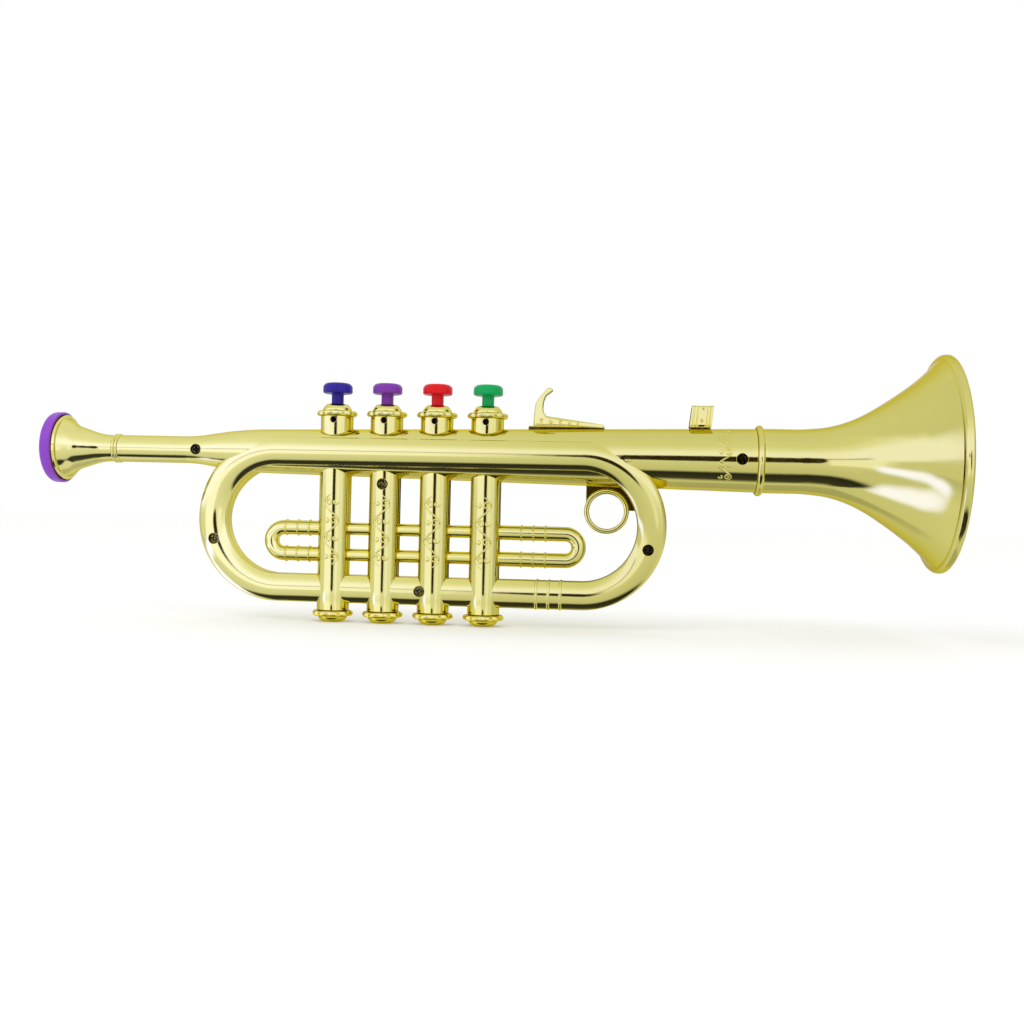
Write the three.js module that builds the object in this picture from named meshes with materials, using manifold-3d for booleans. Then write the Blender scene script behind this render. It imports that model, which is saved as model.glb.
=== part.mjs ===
import * as THREE from 'three';
import { mergeVertices } from 'three/addons/utils/BufferGeometryUtils.js';
import Module from 'manifold-3d';

// A child's four-key toy trumpet in metallised plastic, in millimetres.
// Two mirrored half shells meet on the plane Y = 0 and hold everything else:
// the mouthpiece at the left end, the bell at the right end, and four sprung keys.
// While it is built, X = 0 is the first valve's axis and Z = 0 the main tube's axis.

// Moulding
const wall = 1.8;
const fit_gap = 0.3;
const parting_gap = 0.1;
const overrun = 5;

// Main tube, from the mouthpiece joint to the bell joint
const leadpipe_length = 105.7;
const leadpipe_radius = 6.45;
const leadpipe_straight = 33.8;
const swell_length = 35.6;
const swell_radius = 10.4;
const body_reach = 124;
const body_end_radius = 14.6;

// Valves and their casings
const valve_count = 4;
const valve_pitch = 24;
const upper_casing_radius = 7.65;
const casing_top = 17.1;
const casing_radius = 7.9;
const casing_half_width = 6.75;
const lower_casing_radius = 7.5;
const casing_bottom = 74.7;
const sound_hole_radius = 1.5;
const sound_hole_height = 15.3;

// Loop: a long flattened tube with a half-circle bend at each end
const bend_radius = 32.2;
const left_bend_offset = 26.1;
const right_bend_offset = 45.5;
const loop_half_width = 6.6;
const loop_wall_depth = 3.85;
const loop_crown = 2.6;
const loop_proud = 0.25;
const run_ring_start = 25;
const run_ring_pitch = 5.6;
const run_ring_width = 1.2;
const run_ring_height = 0.35;
const run_ring_count = 3;

// Small slides: two level rails through the casings, joined by a crook at each end
const rail_radius = 2.95;
const crook_radius = 3.45;
const upper_rail_drop = 36;
const rail_spacing = 12.4;
const left_crook_offset = 24.1;
const right_crook_offset = 37.85;
const slide_rib_width = 0.8;
const slide_rib_height = 0.5;
const slide_rib_pitch = 5.65;
const slide_rib_count = 3;
const left_rib_start = 23;
const right_rib_start = 28.6;

// Finger ring in the corner under the main tube
const finger_ring_offset = 56.6;
const finger_ring_drop = 24.9;
const finger_ring_outer = 10.4;
const finger_ring_inner = 8.1;
const finger_ring_depth = 3;
const web_depth = 1.2;
const web_left_offset = 47;
const web_low_drop = 24.4;

// Screws: the same self-tapping screw everywhere, its head sunk to one depth
const screw_head_radius = 2.3;
const screw_head_height = 1.7;
const screw_shank_radius = 1.3;
const screw_seat_depth = 4.2;
const screw_reach = 3.8;
const screw_post_wall = 1.2;
const leadpipe_screw_offset = 66.6;
const casing_screw_drop = 14.6;
const run_screw_offset = 5.6;
const bend_screw_angle_share = 0.1;
const bell_screw_inset = 7;

// Bell
const bell_length = 84.5;
const bell_throat_radius = 14.75;
const bell_radius = 49.5;
const bell_flare_radius = 45.6;
const bell_lip_length = 5.6;
const bell_lip_flat = 1.6;
const bell_collar_radius = 16.3;
const bell_collar_width = 3;
const bell_spigot_length = 14;
const bell_spigot_wall = 1.6;

// Mouthpiece
const mouthpiece_length = 29.2;
const mouthpiece_flange_radius = 15.6;
const mouthpiece_flange_width = 2.4;
const mouthpiece_shoulder_radius = 14;
const mouthpiece_throat_radius = 6.2;
const mouthpiece_bead_radius = 7;
const mouthpiece_bead_width = 1.5;
const mouthpiece_shank_length = 12;
const mouthpiece_bore_radius = 3;
const cup_mouth_radius = 11.2;
const cup_depth = 15;
const rim_width = 4.6;
const rim_radius = 17;
const rim_lip = 0.8;

// Valve caps, top and bottom, with a beaded flange each
const cap_flange_radius = 9.1;
const cap_bead_height = 0.6;
const cap_bead_count = 10;
const cap_flange_height = 2.5;
const cap_cone_radius = 6.75;
const cap_crown_radius = 4.9;
const cap_crown_height = 3.2;
const cap_ceiling = 1.4;
const cap_spigot_depth = 5.3;
const cap_spigot_wall = 0.9;
const valve_seat_height = 1.2;
const valve_seat_radius = 4.1;
const bottom_cap_crown_height = 2.7;
const bottom_cap_spigot_depth = 4;

// Keys
const key_travel = 4.8;
const key_head_radius = 7;
const key_head_height = 5.2;
const key_stem_radius = 2.9;
const key_plate_radius = 5;
const key_plate_height = 1.2;
const key_pin_radius = 1.6;
const key_pin_length = 4.6;
const seal_radius = 5.4;
const seal_height = 2;

// Key springs
const spring_wire_radius = 0.35;
const spring_radius = 3;
const spring_turns = 4;

// Reed block under the keys, with a brass reed for each
const reed_block_level = 3.5;
const reed_block_height = 2;
const reed_cell_wall = 1.2;
const reed_stud_height = 1.5;
const reed_offset = 8;
const reed_length = 12;
const reed_width = 2.6;
const reed_height = 0.3;
const reed_slot_length = 10;
const reed_slot_width = 2;

// Finger hook on top of the main tube
const hook_offset = 19.5;
const hook_length = 35.4;
const hook_height = 19;
const hook_foot_height = 0.9;
const hook_half_width = 3.4;
const hook_foot_half_width = 4.2;
const hook_tongue_length = 22;
const tongue_half_width = 1.5;
const tongue_depth = 2.4;

// Fluted music-clip socket behind the bell collar
const socket_offset = 93.6;
const socket_length = 10;
const socket_half_width = 4.4;
const socket_height = 11;
const socket_lean = 1.2;
const socket_flute_depth = 0.5;
const socket_flutes = 4;
const socket_tongue_length = 6;

// Facets round each kind of form
const tube_sides = 20;
const bell_sides = 24;
const mouthpiece_sides = 16;
const casing_sides = 12;
const fastener_sides = 8;
const small_sides = 10;
const rail_sides = 8;
const hidden_sides = 6;
const hidden_tube_sides = 16;
const bend_steps = 9;
const hidden_bend_steps = 4;
const crook_steps = 5;
const crown_steps = 3;
const casing_steps = 3;
const hidden_crown_steps = 2;
const flare_steps = 9;
const hidden_flare_steps = 4;
const bead_steps = 3;
const coil_steps = 6;
const wire_sides = 3;
const hook_steps = 14;
const flute_steps = 3;

// Shares of a form's length and radius, along the outline that the eye sees
const swell_shares = [[0, 0], [0.16, 0.11], [0.38, 0.42], [0.6, 0.71], [0.8, 0.89], [1, 1]];
const flare_shares = [
  [0, 0], [0.27, 0.008], [0.39, 0.045], [0.5, 0.125], [0.6, 0.24], [0.7, 0.39], [0.8, 0.56],
  [0.89, 0.73], [0.96, 0.89], [1, 1],
];
const cup_shares = [[0, 1], [0.09, 0.84], [0.22, 0.57], [0.35, 0.43], [0.49, 0.29], [0.7, 0.1], [1, 0]];
const bead_shares = [[0, 0], [0.3, 1], [0.7, 1], [1, 0]];
const lip_shares = [[0.1, 0.4], [0.36, 0.88], [0.66, 1], [1, 0.72]];
const rim_shares = [[0, 1.6], [0.14, 0.5], [0.4, 0]];
const flange_shares = [[0, 1], [0.5, 0], [1, 1]];
const key_shares = [[0, 0.88], [0.15, 1], [0.45, 1], [0.8, 0.88], [1, 0.55], [1, 0]];
const hook_arm_shares = [
  [0.065, 0.06], [0.072, 0.36], [0.095, 0.62], [0.17, 0.83], [0.27, 1], [0.305, 0.955],
  [0.215, 0.77], [0.186, 0.58], [0.19, 0.4], [0.235, 0.315],
];
const hook_wedge_shares = [[0.965, 0.1], [0.995, 0.05]];

const wasm = await Module();
wasm.setup();

const gold = new THREE.MeshStandardMaterial({ color: '#d6cf78', roughness: 0.18, metalness: 0.9 });
const rim_purple = new THREE.MeshStandardMaterial({ color: '#8a3fc4', roughness: 0.4, metalness: 0 });
const key_colours = ['#3a27a6', '#8c43b6', '#d6202e', '#17a45e'];
const seal_rubber = new THREE.MeshStandardMaterial({ color: '#2b2b2b', roughness: 0.9, metalness: 0 });
const spring_steel = new THREE.MeshStandardMaterial({ color: '#b9bcc0', roughness: 0.35, metalness: 1 });
const screw_steel = new THREE.MeshStandardMaterial({ color: '#1b1b1b', roughness: 0.45, metalness: 0.8 });
const reed_brass = new THREE.MeshStandardMaterial({ color: '#c79a3c', roughness: 0.3, metalness: 1 });
const block_plastic = new THREE.MeshStandardMaterial({ color: '#e6e2d2', roughness: 0.5, metalness: 0 });

// Places worked out from the sizes above
const last_valve = valve_pitch * (valve_count - 1);
const leadpipe_end = -leadpipe_length;
const swell_start = leadpipe_end + leadpipe_straight;
const swell_end = swell_start + swell_length;
const body_end = last_valve + body_reach;
const left_bend = -left_bend_offset;
const right_bend = last_valve + right_bend_offset;
const loop_bottom = -2 * bend_radius;
const lower_rail_drop = upper_rail_drop + rail_spacing;
const valves = Array.from({ length: valve_count }, (_, i) => i * valve_pitch);
const far = body_end + leadpipe_length + bell_length;
const valve_bore_radius = upper_casing_radius - wall;
const cap_top = casing_top + parting_gap + cap_flange_height + cap_crown_height;
const key_head_bottom = cap_top + fit_gap + key_travel;

// Main tube radius at any X: a straight pipe, a swelling, then a slow cone
function main_radius(x) {
  if (x <= swell_start) return leadpipe_radius;
  if (x >= swell_end) {
    return THREE.MathUtils.mapLinear(x, swell_end, body_end, swell_radius, body_end_radius);
  }
  const share = (x - swell_start) / swell_length;
  const next = swell_shares.findIndex(([along]) => along >= share);
  const [a, b] = [swell_shares[Math.max(next - 1, 0)], swell_shares[next]];
  const rise = a === b ? b[1] : THREE.MathUtils.mapLinear(share, a[0], b[0], a[1], b[1]);
  return leadpipe_radius + (swell_radius - leadpipe_radius) * rise;
}

// Fittings that stand on the crest of the main tube: the middle and length of each tongue
const tongue_places = [
  [last_valve + hook_offset + hook_length / 2, hook_tongue_length],
  [last_valve + socket_offset + socket_length / 2, socket_tongue_length],
];

// A closed geometry as a solid: shared corners welded, empty triangles dropped, faces out
function solid(geometry) {
  const bare = geometry.clone();
  bare.deleteAttribute('normal');
  bare.deleteAttribute('uv');
  const welded = mergeVertices(bare);
  const points = welded.getAttribute('position').array;
  const index = welded.index.array;
  const kept = [];
  let volume = 0;
  for (let i = 0; i < index.length; i += 3) {
    const [a, b, c] = [index[i], index[i + 1], index[i + 2]];
    if (a === b || b === c || c === a) continue;
    kept.push(a, b, c);
    const [p, q, r] = [a, b, c].map((v) => new THREE.Vector3().fromArray(points, 3 * v));
    volume += p.dot(q.cross(r));
  }
  if (volume < 0) kept.reverse();
  return new wasm.Manifold(new wasm.Mesh({
    numProp: 3, vertProperties: Float32Array.from(points), triVerts: Uint32Array.from(kept),
  }));
}

// Solids joined into one
function joined(solids) {
  return solids.reduce((whole, piece) => whole.add(piece));
}

// A profile of [along, radius] turned about the X, Y or Z axis
function turned(profile, axis, sides) {
  const points = profile.map(([along, radius]) => new THREE.Vector2(radius, along));
  const geometry = new THREE.LatheGeometry(points, sides);
  if (axis === 'x') geometry.rotateZ(-Math.PI / 2);
  if (axis === 'z') geometry.rotateX(Math.PI / 2);
  return geometry;
}

// A plain round bar between two stations of an axis
function bar(radius, start, end, axis, sides) {
  return turned([[start, 0], [start, radius], [end, radius], [end, 0]], axis, sides);
}

// A box given by its lowest and highest corners
function block(low, high) {
  const geometry = new THREE.BoxGeometry(high[0] - low[0], high[1] - low[1], high[2] - low[2]);
  return geometry.translate((low[0] + high[0]) / 2, (low[1] + high[1]) / 2, (low[2] + high[2]) / 2);
}

// A flat outline in X and Y drawn up to a height
function raised(shape, low, high, steps) {
  const settings = { depth: high - low, bevelEnabled: false, curveSegments: steps };
  return new THREE.ExtrudeGeometry(shape, settings).translate(0, 0, low);
}

// A skin through rings of points, closed by its own first ring or by two flat ends
function lofted(rings, is_loop) {
  const across = rings[0].length;
  const spans = is_loop ? rings.length : rings.length - 1;
  const index = [];
  for (let i = 0; i < spans; i += 1) {
    const next = (i + 1) % rings.length;
    for (let j = 0; j < across; j += 1) {
      const k = (j + 1) % across;
      const [a, b] = [i * across + j, i * across + k];
      const [c, d] = [next * across + k, next * across + j];
      index.push(a, b, c, a, c, d);
    }
  }
  if (!is_loop) {
    const last = (rings.length - 1) * across;
    for (let j = 1; j < across - 1; j += 1) index.push(0, j + 1, j, last, last + j, last + j + 1);
  }
  const geometry = new THREE.BufferGeometry();
  geometry.setFromPoints(rings.flat());
  geometry.setIndex(index);
  return geometry;
}

// A profile moved off itself by a distance, to the right of its direction of travel
function offset_profile(profile, distance) {
  return profile.map((point, i) => {
    const before = profile[Math.max(i - 1, 0)];
    const after = profile[Math.min(i + 1, profile.length - 1)];
    const [dx, dr] = [after[0] - before[0], after[1] - before[1]];
    const length = Math.hypot(dx, dr);
    return [point[0] + (dr / length) * distance, point[1] - (dx / length) * distance];
  });
}

// Main tube: its skin, or its bore when it is thinned by the wall
function main_tube(thinned, end_overrun, sides) {
  const shoulder = swell_shares.map(([along, rise]) => [
    swell_start + swell_length * along,
    leadpipe_radius + (swell_radius - leadpipe_radius) * rise - thinned,
  ]);
  const profile = [
    [leadpipe_end - end_overrun, 0],
    [leadpipe_end - end_overrun, leadpipe_radius - thinned],
    ...shoulder,
    [body_end + end_overrun, main_radius(body_end + end_overrun) - thinned],
    [body_end + end_overrun, 0],
  ];
  return solid(turned(profile, 'x', sides));
}

// Section of the loop: two straight walls, crowned front and back by a shallow arc
function loop_section(half_width, wall_depth, crown, steps) {
  const arc_radius = (half_width ** 2 + crown ** 2) / (2 * crown);
  const half_angle = Math.asin(half_width / arc_radius);
  const points = [];
  for (const side of [1, -1]) {
    for (let i = 0; i <= steps; i += 1) {
      const angle = half_angle * (1 - (2 * i) / steps) * side;
      const depth = wall_depth + crown - arc_radius * (1 - Math.cos(angle));
      points.push([arc_radius * Math.sin(angle), -depth * side]);
    }
  }
  return points;
}

// Depth of the loop's straight wall: it rises over the main tube along the top run
function loop_depth(x, z) {
  const tube_radius = Math.max(main_radius(x), loop_half_width);
  const on_top = Math.sqrt(tube_radius ** 2 - loop_half_width ** 2) + loop_proud;
  const share = THREE.MathUtils.smoothstep(z, -bend_radius, 0);
  return loop_wall_depth + (on_top - loop_wall_depth) * share;
}

// Centre line of the loop as places with the direction that points out of the loop
function loop_path(steps) {
  const path = [];
  for (const [centre, side] of [[right_bend, 1], [left_bend, -1]]) {
    for (let i = 0; i <= steps; i += 1) {
      const angle = side * Math.PI * (0.5 - i / steps);
      const out = [side * Math.cos(angle), Math.sin(angle)];
      path.push({ x: centre + bend_radius * out[0], z: bend_radius * (out[1] - 1), out });
    }
  }
  return path;
}

// One ring of the loop's skin, swollen or thinned by an amount
function loop_ring({ x, z, out }, swollen, steps) {
  const depth = loop_depth(x, z);
  const section = loop_section(loop_half_width + swollen, depth, loop_crown + swollen, steps);
  return section.map(([across, y]) => new THREE.Vector3(x + out[0] * across, y, z + out[1] * across));
}

function loop_tube(swollen, path_steps, section_steps) {
  const rings = loop_path(path_steps).map((place) => loop_ring(place, swollen, section_steps));
  return solid(lofted(rings, true));
}

// Thin raised rings round the loop's bottom run
function run_rings() {
  return Array.from({ length: run_ring_count }, (_, i) => {
    const x = last_valve + run_ring_start + i * run_ring_pitch;
    const ends = [x - run_ring_width / 2, x + run_ring_width / 2];
    const places = ends.map((end) => ({ x: end, z: loop_bottom, out: [0, -1] }));
    return solid(lofted(places.map((place) => loop_ring(place, run_ring_height, crown_steps)), false));
  });
}

// Plan of a casing between the windows: a circle with two flat sides
function casing_plan(radius, half_width) {
  const angle = Math.acos(half_width / radius);
  const plan = new THREE.Shape();
  plan.absarc(0, 0, radius, angle, Math.PI - angle, false);
  plan.absarc(0, 0, radius, Math.PI + angle, -angle, false);
  plan.closePath();
  return plan;
}

// One casing: round above the main tube, flat sided between the windows, round at its foot
function casing(x) {
  const plan = casing_plan(casing_radius, casing_half_width);
  return joined([
    solid(bar(upper_casing_radius, 0, casing_top, 'z', casing_sides).translate(x, 0, 0)),
    solid(raised(plan, loop_bottom, 0, casing_steps).translate(x, 0, 0)),
    solid(bar(lower_casing_radius, -casing_bottom, loop_bottom, 'z', casing_sides).translate(x, 0, 0)),
  ]);
}

// The same casing's hollow below the main tube, open at the foot
function casing_hollow(x) {
  const plan = casing_plan(casing_radius - wall, casing_half_width - wall);
  const foot = bar(lower_casing_radius - wall, -casing_bottom - overrun, loop_bottom, 'z', small_sides);
  const middle = raised(plan, loop_bottom, 0, hidden_crown_steps);
  return solid(middle.translate(x, 0, 0)).add(solid(foot.translate(x, 0, 0)));
}

// The valve's own bore, from the main tube's bore up to the cap
function valve_bore(x) {
  return solid(bar(valve_bore_radius, 0, casing_top + overrun, 'z', small_sides).translate(x, 0, 0));
}

// One end of the small slides: two ribbed tubes and the half ring that joins them
function slide_crook(centre, casing_x, side, rib_start) {
  const middle = -(upper_rail_drop + lower_rail_drop) / 2;
  const rings = [];
  for (let i = 0; i <= crook_steps; i += 1) {
    const angle = Math.PI * (0.5 - i / crook_steps);
    const out = [side * Math.cos(angle), Math.sin(angle)];
    const ring = [];
    for (let j = 0; j < rail_sides; j += 1) {
      const turn = (2 * Math.PI * j) / rail_sides;
      const reach = rail_spacing / 2 + crook_radius * Math.cos(turn);
      const depth = crook_radius * Math.sin(turn);
      ring.push(new THREE.Vector3(centre + out[0] * reach, depth, middle + out[1] * reach));
    }
    rings.push(ring);
  }
  const pieces = [solid(lofted(rings, false))];
  const [low, high] = [Math.min(centre, casing_x), Math.max(centre, casing_x)];
  for (const drop of [upper_rail_drop, lower_rail_drop]) {
    pieces.push(solid(bar(crook_radius, low, high, 'x', rail_sides).translate(0, 0, -drop)));
    for (let i = 0; i < slide_rib_count; i += 1) {
      const start = casing_x + side * (rib_start - i * slide_rib_pitch) - slide_rib_width / 2;
      const rib = bar(crook_radius + slide_rib_height, start, start + slide_rib_width, 'x', rail_sides);
      pieces.push(solid(rib.translate(0, 0, -drop)));
    }
  }
  return joined(pieces);
}

function rails() {
  const drops = [upper_rail_drop, lower_rail_drop];
  const bars = drops.map((drop) => bar(rail_radius, 0, last_valve, 'x', rail_sides).translate(0, 0, -drop));
  return joined(bars.map(solid));
}

// Finger ring with the thin web that ties it to the main tube and the right bend
function finger_ring() {
  const x = last_valve + finger_ring_offset;
  const z = -finger_ring_drop;
  const ring = bar(finger_ring_outer, -finger_ring_depth, finger_ring_depth, 'y', tube_sides);
  const web_left = last_valve + web_left_offset;
  const web_right = right_bend + bend_radius;
  const web = block([web_left, -web_depth, -web_low_drop], [web_right, web_depth, 0]);
  const corner = block([x - far, -web_depth, z - far], [x, web_depth, z]);
  return solid(ring.translate(x, 0, z)).add(solid(web).subtract(solid(corner)));
}

function finger_hole() {
  const reach = finger_ring_depth + overrun;
  const hole = bar(finger_ring_inner, -reach, reach, 'y', tube_sides);
  return solid(hole.translate(last_valve + finger_ring_offset, 0, -finger_ring_drop));
}

// Screw places in X and Z
function screw_places() {
  const angle = Math.PI * bend_screw_angle_share;
  const [across, down] = [bend_radius * Math.cos(angle), bend_radius * (1 + Math.sin(angle))];
  return [
    [-leadpipe_screw_offset, 0],
    [left_bend - across, -down],
    [valve_pitch, -casing_screw_drop],
    [2 * valve_pitch - run_screw_offset, loop_bottom],
    [right_bend + across, -down],
    [body_end - bell_screw_inset, 0],
  ];
}

// Post round each screw, thicker where it holds the head
function screw_post([x, z]) {
  const thin = screw_shank_radius + fit_gap + screw_post_wall;
  const thick = screw_head_radius + fit_gap + screw_post_wall;
  const shoulder = -screw_seat_depth + screw_post_wall;
  const profile = [[-far, 0], [-far, thick], [shoulder, thick], [shoulder, thin], [far, thin], [far, 0]];
  return solid(turned(profile, 'y', hidden_sides).translate(x, 0, z));
}

// Hole for each screw: the shank's bore and the deep recess of its head
function screw_hole([x, z]) {
  const bore = screw_shank_radius + fit_gap;
  const recess = screw_head_radius + fit_gap;
  const end = screw_reach + fit_gap;
  const profile = [
    [-far, 0], [-far, recess], [-screw_seat_depth, recess],
    [-screw_seat_depth, bore], [end, bore], [end, 0],
  ];
  return solid(turned(profile, 'y', fastener_sides).translate(x, 0, z));
}

function screw([x, z]) {
  const head = -screw_seat_depth - fit_gap;
  const edge = screw_head_height / 4;
  const profile = [
    [head - screw_head_height, 0], [head - screw_head_height, screw_head_radius - edge],
    [head - screw_head_height + edge, screw_head_radius], [head, screw_head_radius],
    [head, screw_shank_radius], [screw_reach - screw_shank_radius, screw_shank_radius],
    [screw_reach, 0],
  ];
  return solid(turned(profile, 'y', fastener_sides).translate(x, 0, z));
}

// A tongue under a fitting, or the slot for it when it is grown by the fit
function tongue([x, length], grown) {
  const crest = main_radius(x);
  const half_length = length / 2 + grown;
  const half_width = tongue_half_width + grown;
  const top = grown > 0 ? crest + overrun : crest + fit_gap + hook_foot_height;
  const low = [x - half_length, -half_width, crest - tongue_depth - grown];
  return solid(block(low, [x + half_length, half_width, top]));
}

function sound_hole(x) {
  return solid(bar(sound_hole_radius, -far, 0, 'y', rail_sides).translate(x, 0, sound_hole_height));
}

// Both half shells as one body, before they are parted
function body() {
  const main = main_tube(0, 0, tube_sides);
  const outside = joined([
    main,
    loop_tube(0, bend_steps, crown_steps),
    ...run_rings(),
    ...valves.map(casing),
    rails(),
    slide_crook(-left_crook_offset, 0, -1, left_rib_start),
    slide_crook(last_valve + right_crook_offset, last_valve, 1, right_rib_start),
    finger_ring(),
  ]);
  const loop_hollow = loop_tube(-wall, hidden_bend_steps, hidden_crown_steps);
  const lower_hollow = joined([loop_hollow, ...valves.map(casing_hollow)]).subtract(main);
  const bore = main_tube(wall, overrun, hidden_tube_sides);
  const hollow = joined([lower_hollow, bore, ...valves.map(valve_bore)]);
  const posts = joined(screw_places().map(screw_post)).intersect(outside);
  const holes = joined([
    finger_hole(),
    ...screw_places().map(screw_hole),
    ...valves.map(sound_hole),
    ...tongue_places.map((place) => tongue(place, fit_gap)),
  ]);
  return outside.subtract(hollow).add(posts).subtract(holes);
}

// One half shell: what lies on its own side of the parting plane
function half_shell(whole, side) {
  const face = parting_gap / 2;
  const [low, high] = side < 0 ? [-face, far] : [-far, face];
  return whole.subtract(solid(block([-far, low, -far], [far, high, far])));
}

// Bell: spigot inside the body, collar bead, long flare and rolled lip
function bell() {
  const start = body_end + parting_gap;
  const front = body_end + bell_length;
  const flare_end = front - bell_lip_length;
  const spigot_end = body_end - bell_spigot_length;
  const spigot_radius = main_radius(spigot_end) - wall - fit_gap;
  const flare_start = start + bell_collar_width;
  const places = flare_shares.map(([along, rise]) => new THREE.Vector2(
    flare_start + (flare_end - flare_start) * along,
    bell_throat_radius + (bell_flare_radius - bell_throat_radius) * rise,
  ));
  const curve = new THREE.SplineCurve(places);
  const flare = curve.getPoints(flare_steps).map(({ x, y }) => [x, y]);
  const core = curve.getPoints(hidden_flare_steps).map(({ x, y }) => [x, y]);
  const bead = bead_shares.map(([along, rise]) => [
    start + bell_collar_width * along,
    bell_throat_radius + (bell_collar_radius - bell_throat_radius) * rise,
  ]);
  const lip = lip_shares.map(([along, rise]) => [
    flare_end + bell_lip_length * along,
    bell_flare_radius + (bell_radius - bell_flare_radius) * rise,
  ]);
  const lip_inner = lip[lip.length - 1][1] - bell_lip_flat;
  const inside = offset_profile(core, wall).reverse();
  const profile = [
    [spigot_end, spigot_radius - bell_spigot_wall],
    [spigot_end, spigot_radius], [start, spigot_radius],
    ...bead, ...flare.slice(1), ...lip,
    [front, lip_inner], ...inside.slice(0, -1),
    [flare_start, bell_throat_radius - wall], [start, spigot_radius - bell_spigot_wall],
    [spigot_end, spigot_radius - bell_spigot_wall],
  ];
  const [x, z] = screw_places().pop();
  const post = screw_head_radius + screw_post_wall + 2 * fit_gap;
  const hole = solid(bar(post, -far, far, 'y', fastener_sides).translate(x, 0, z));
  return solid(turned(profile, 'x', bell_sides)).subtract(hole);
}

// Mouthpiece: flanged cup, beaded throat and a shank inside the leadpipe
function mouthpiece_cup() {
  const back = leadpipe_end - parting_gap;
  const front = back - mouthpiece_length;
  const shoulder = front + mouthpiece_flange_width;
  const bead_start = back - 2 * mouthpiece_bead_width;
  const bowl = cup_shares.map(([along, rise]) => [
    shoulder + (bead_start - shoulder) * along,
    mouthpiece_throat_radius + (mouthpiece_shoulder_radius - mouthpiece_throat_radius) * rise,
  ]);
  const bead = bead_shares.map(([along, rise]) => [
    bead_start + mouthpiece_bead_width * along,
    mouthpiece_throat_radius + (mouthpiece_bead_radius - mouthpiece_throat_radius) * rise,
  ]);
  const shank_radius = leadpipe_radius - wall - fit_gap;
  const shank_end = back + mouthpiece_shank_length;
  const profile = [
    [front, cup_mouth_radius], [front, mouthpiece_flange_radius], [shoulder, mouthpiece_flange_radius],
    ...bowl, ...bead, [back, mouthpiece_throat_radius], [back, shank_radius],
    [shank_end, shank_radius], [shank_end, mouthpiece_bore_radius],
    [front + cup_depth, mouthpiece_bore_radius], [front, cup_mouth_radius],
  ];
  return solid(turned(profile, 'x', mouthpiece_sides));
}

// Soft coloured rim that snaps over the flange of the cup
function mouthpiece_rim() {
  const seat = leadpipe_end - 2 * parting_gap - mouthpiece_length;
  const front = seat - rim_width;
  const hold = mouthpiece_flange_radius + fit_gap;
  const stations = rim_shares.map(([along, inset]) => [front + rim_width * along, rim_lip * inset]);
  const round = stations.map(([x, inset]) => [x, rim_radius - inset]);
  const inner = stations.map(([x, inset]) => [x, cup_mouth_radius + inset]);
  const profile = [
    ...round, [seat + rim_lip, rim_radius], [seat + rim_lip, hold], [seat, hold],
    [seat, cup_mouth_radius], ...inner.reverse(), round[0],
  ];
  return solid(turned(profile, 'x', mouthpiece_sides));
}

// Beaded flange: an outline of round beads, drawn in at its two faces
function beaded_flange(low, high) {
  const rings = flange_shares.map(([up, inset]) => {
    const ring = [];
    for (let i = 0; i < cap_bead_count * bead_steps; i += 1) {
      const angle = (2 * Math.PI * i) / (cap_bead_count * bead_steps);
      const bead = cap_bead_height * Math.abs(Math.cos((angle * cap_bead_count) / 2));
      const radius = cap_flange_radius + bead - cap_bead_height * inset;
      const [x, y] = [radius * Math.cos(angle), radius * Math.sin(angle)];
      ring.push(new THREE.Vector3(x, y, low + (high - low) * up));
    }
    return ring;
  });
  return solid(lofted(rings, false));
}

// Top cap: beaded flange, cone with the stem's bore, and a spigot that ends in the valve seat
function valve_cap(x) {
  const flange_low = casing_top + parting_gap;
  const flange_high = flange_low + cap_flange_height;
  const seat = casing_top - cap_spigot_depth;
  const spigot = valve_bore_radius - fit_gap;
  const inner = spigot - cap_spigot_wall;
  const stem_bore = key_stem_radius + fit_gap;
  const within = solid(turned([
    [seat - overrun, 0], [seat - overrun, valve_seat_radius], [seat + valve_seat_height, valve_seat_radius],
    [seat + valve_seat_height, inner], [cap_top - cap_ceiling, inner], [cap_top - cap_ceiling, stem_bore],
    [cap_top + overrun, stem_bore], [cap_top + overrun, 0],
  ], 'z', small_sides));
  const crown = solid(turned([
    [seat, 0], [seat, spigot], [flange_high, spigot],
    [flange_high, cap_cone_radius], [cap_top, cap_crown_radius], [cap_top, 0],
  ], 'z', small_sides));
  const whole = joined([beaded_flange(flange_low, flange_high), crown]).subtract(within);
  return whole.translate([x, 0, 0]).subtract(sound_hole(x));
}

// Bottom cap: the same flange over a short cone, with a spigot in the casing's foot
function bottom_cap(x) {
  const flange_high = -casing_bottom - parting_gap;
  const flange_low = flange_high - cap_flange_height;
  const low = flange_low - bottom_cap_crown_height;
  const spigot = lower_casing_radius - wall - fit_gap;
  const crown = solid(turned([
    [low, 0], [low, cap_crown_radius], [flange_low, cap_cone_radius], [flange_low, spigot],
    [flange_high + bottom_cap_spigot_depth, spigot], [flange_high + bottom_cap_spigot_depth, 0],
  ], 'z', small_sides));
  return beaded_flange(flange_low, flange_high).add(crown).translate([x, 0, 0]);
}

// Stations of one valve, from the seat down to the foot of the key's pin
const seal_top = casing_top - cap_spigot_depth - fit_gap;
const key_plate_top = seal_top - seal_height - fit_gap;
const key_plate_low = key_plate_top - key_plate_height;
const block_top = -reed_block_level;

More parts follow.
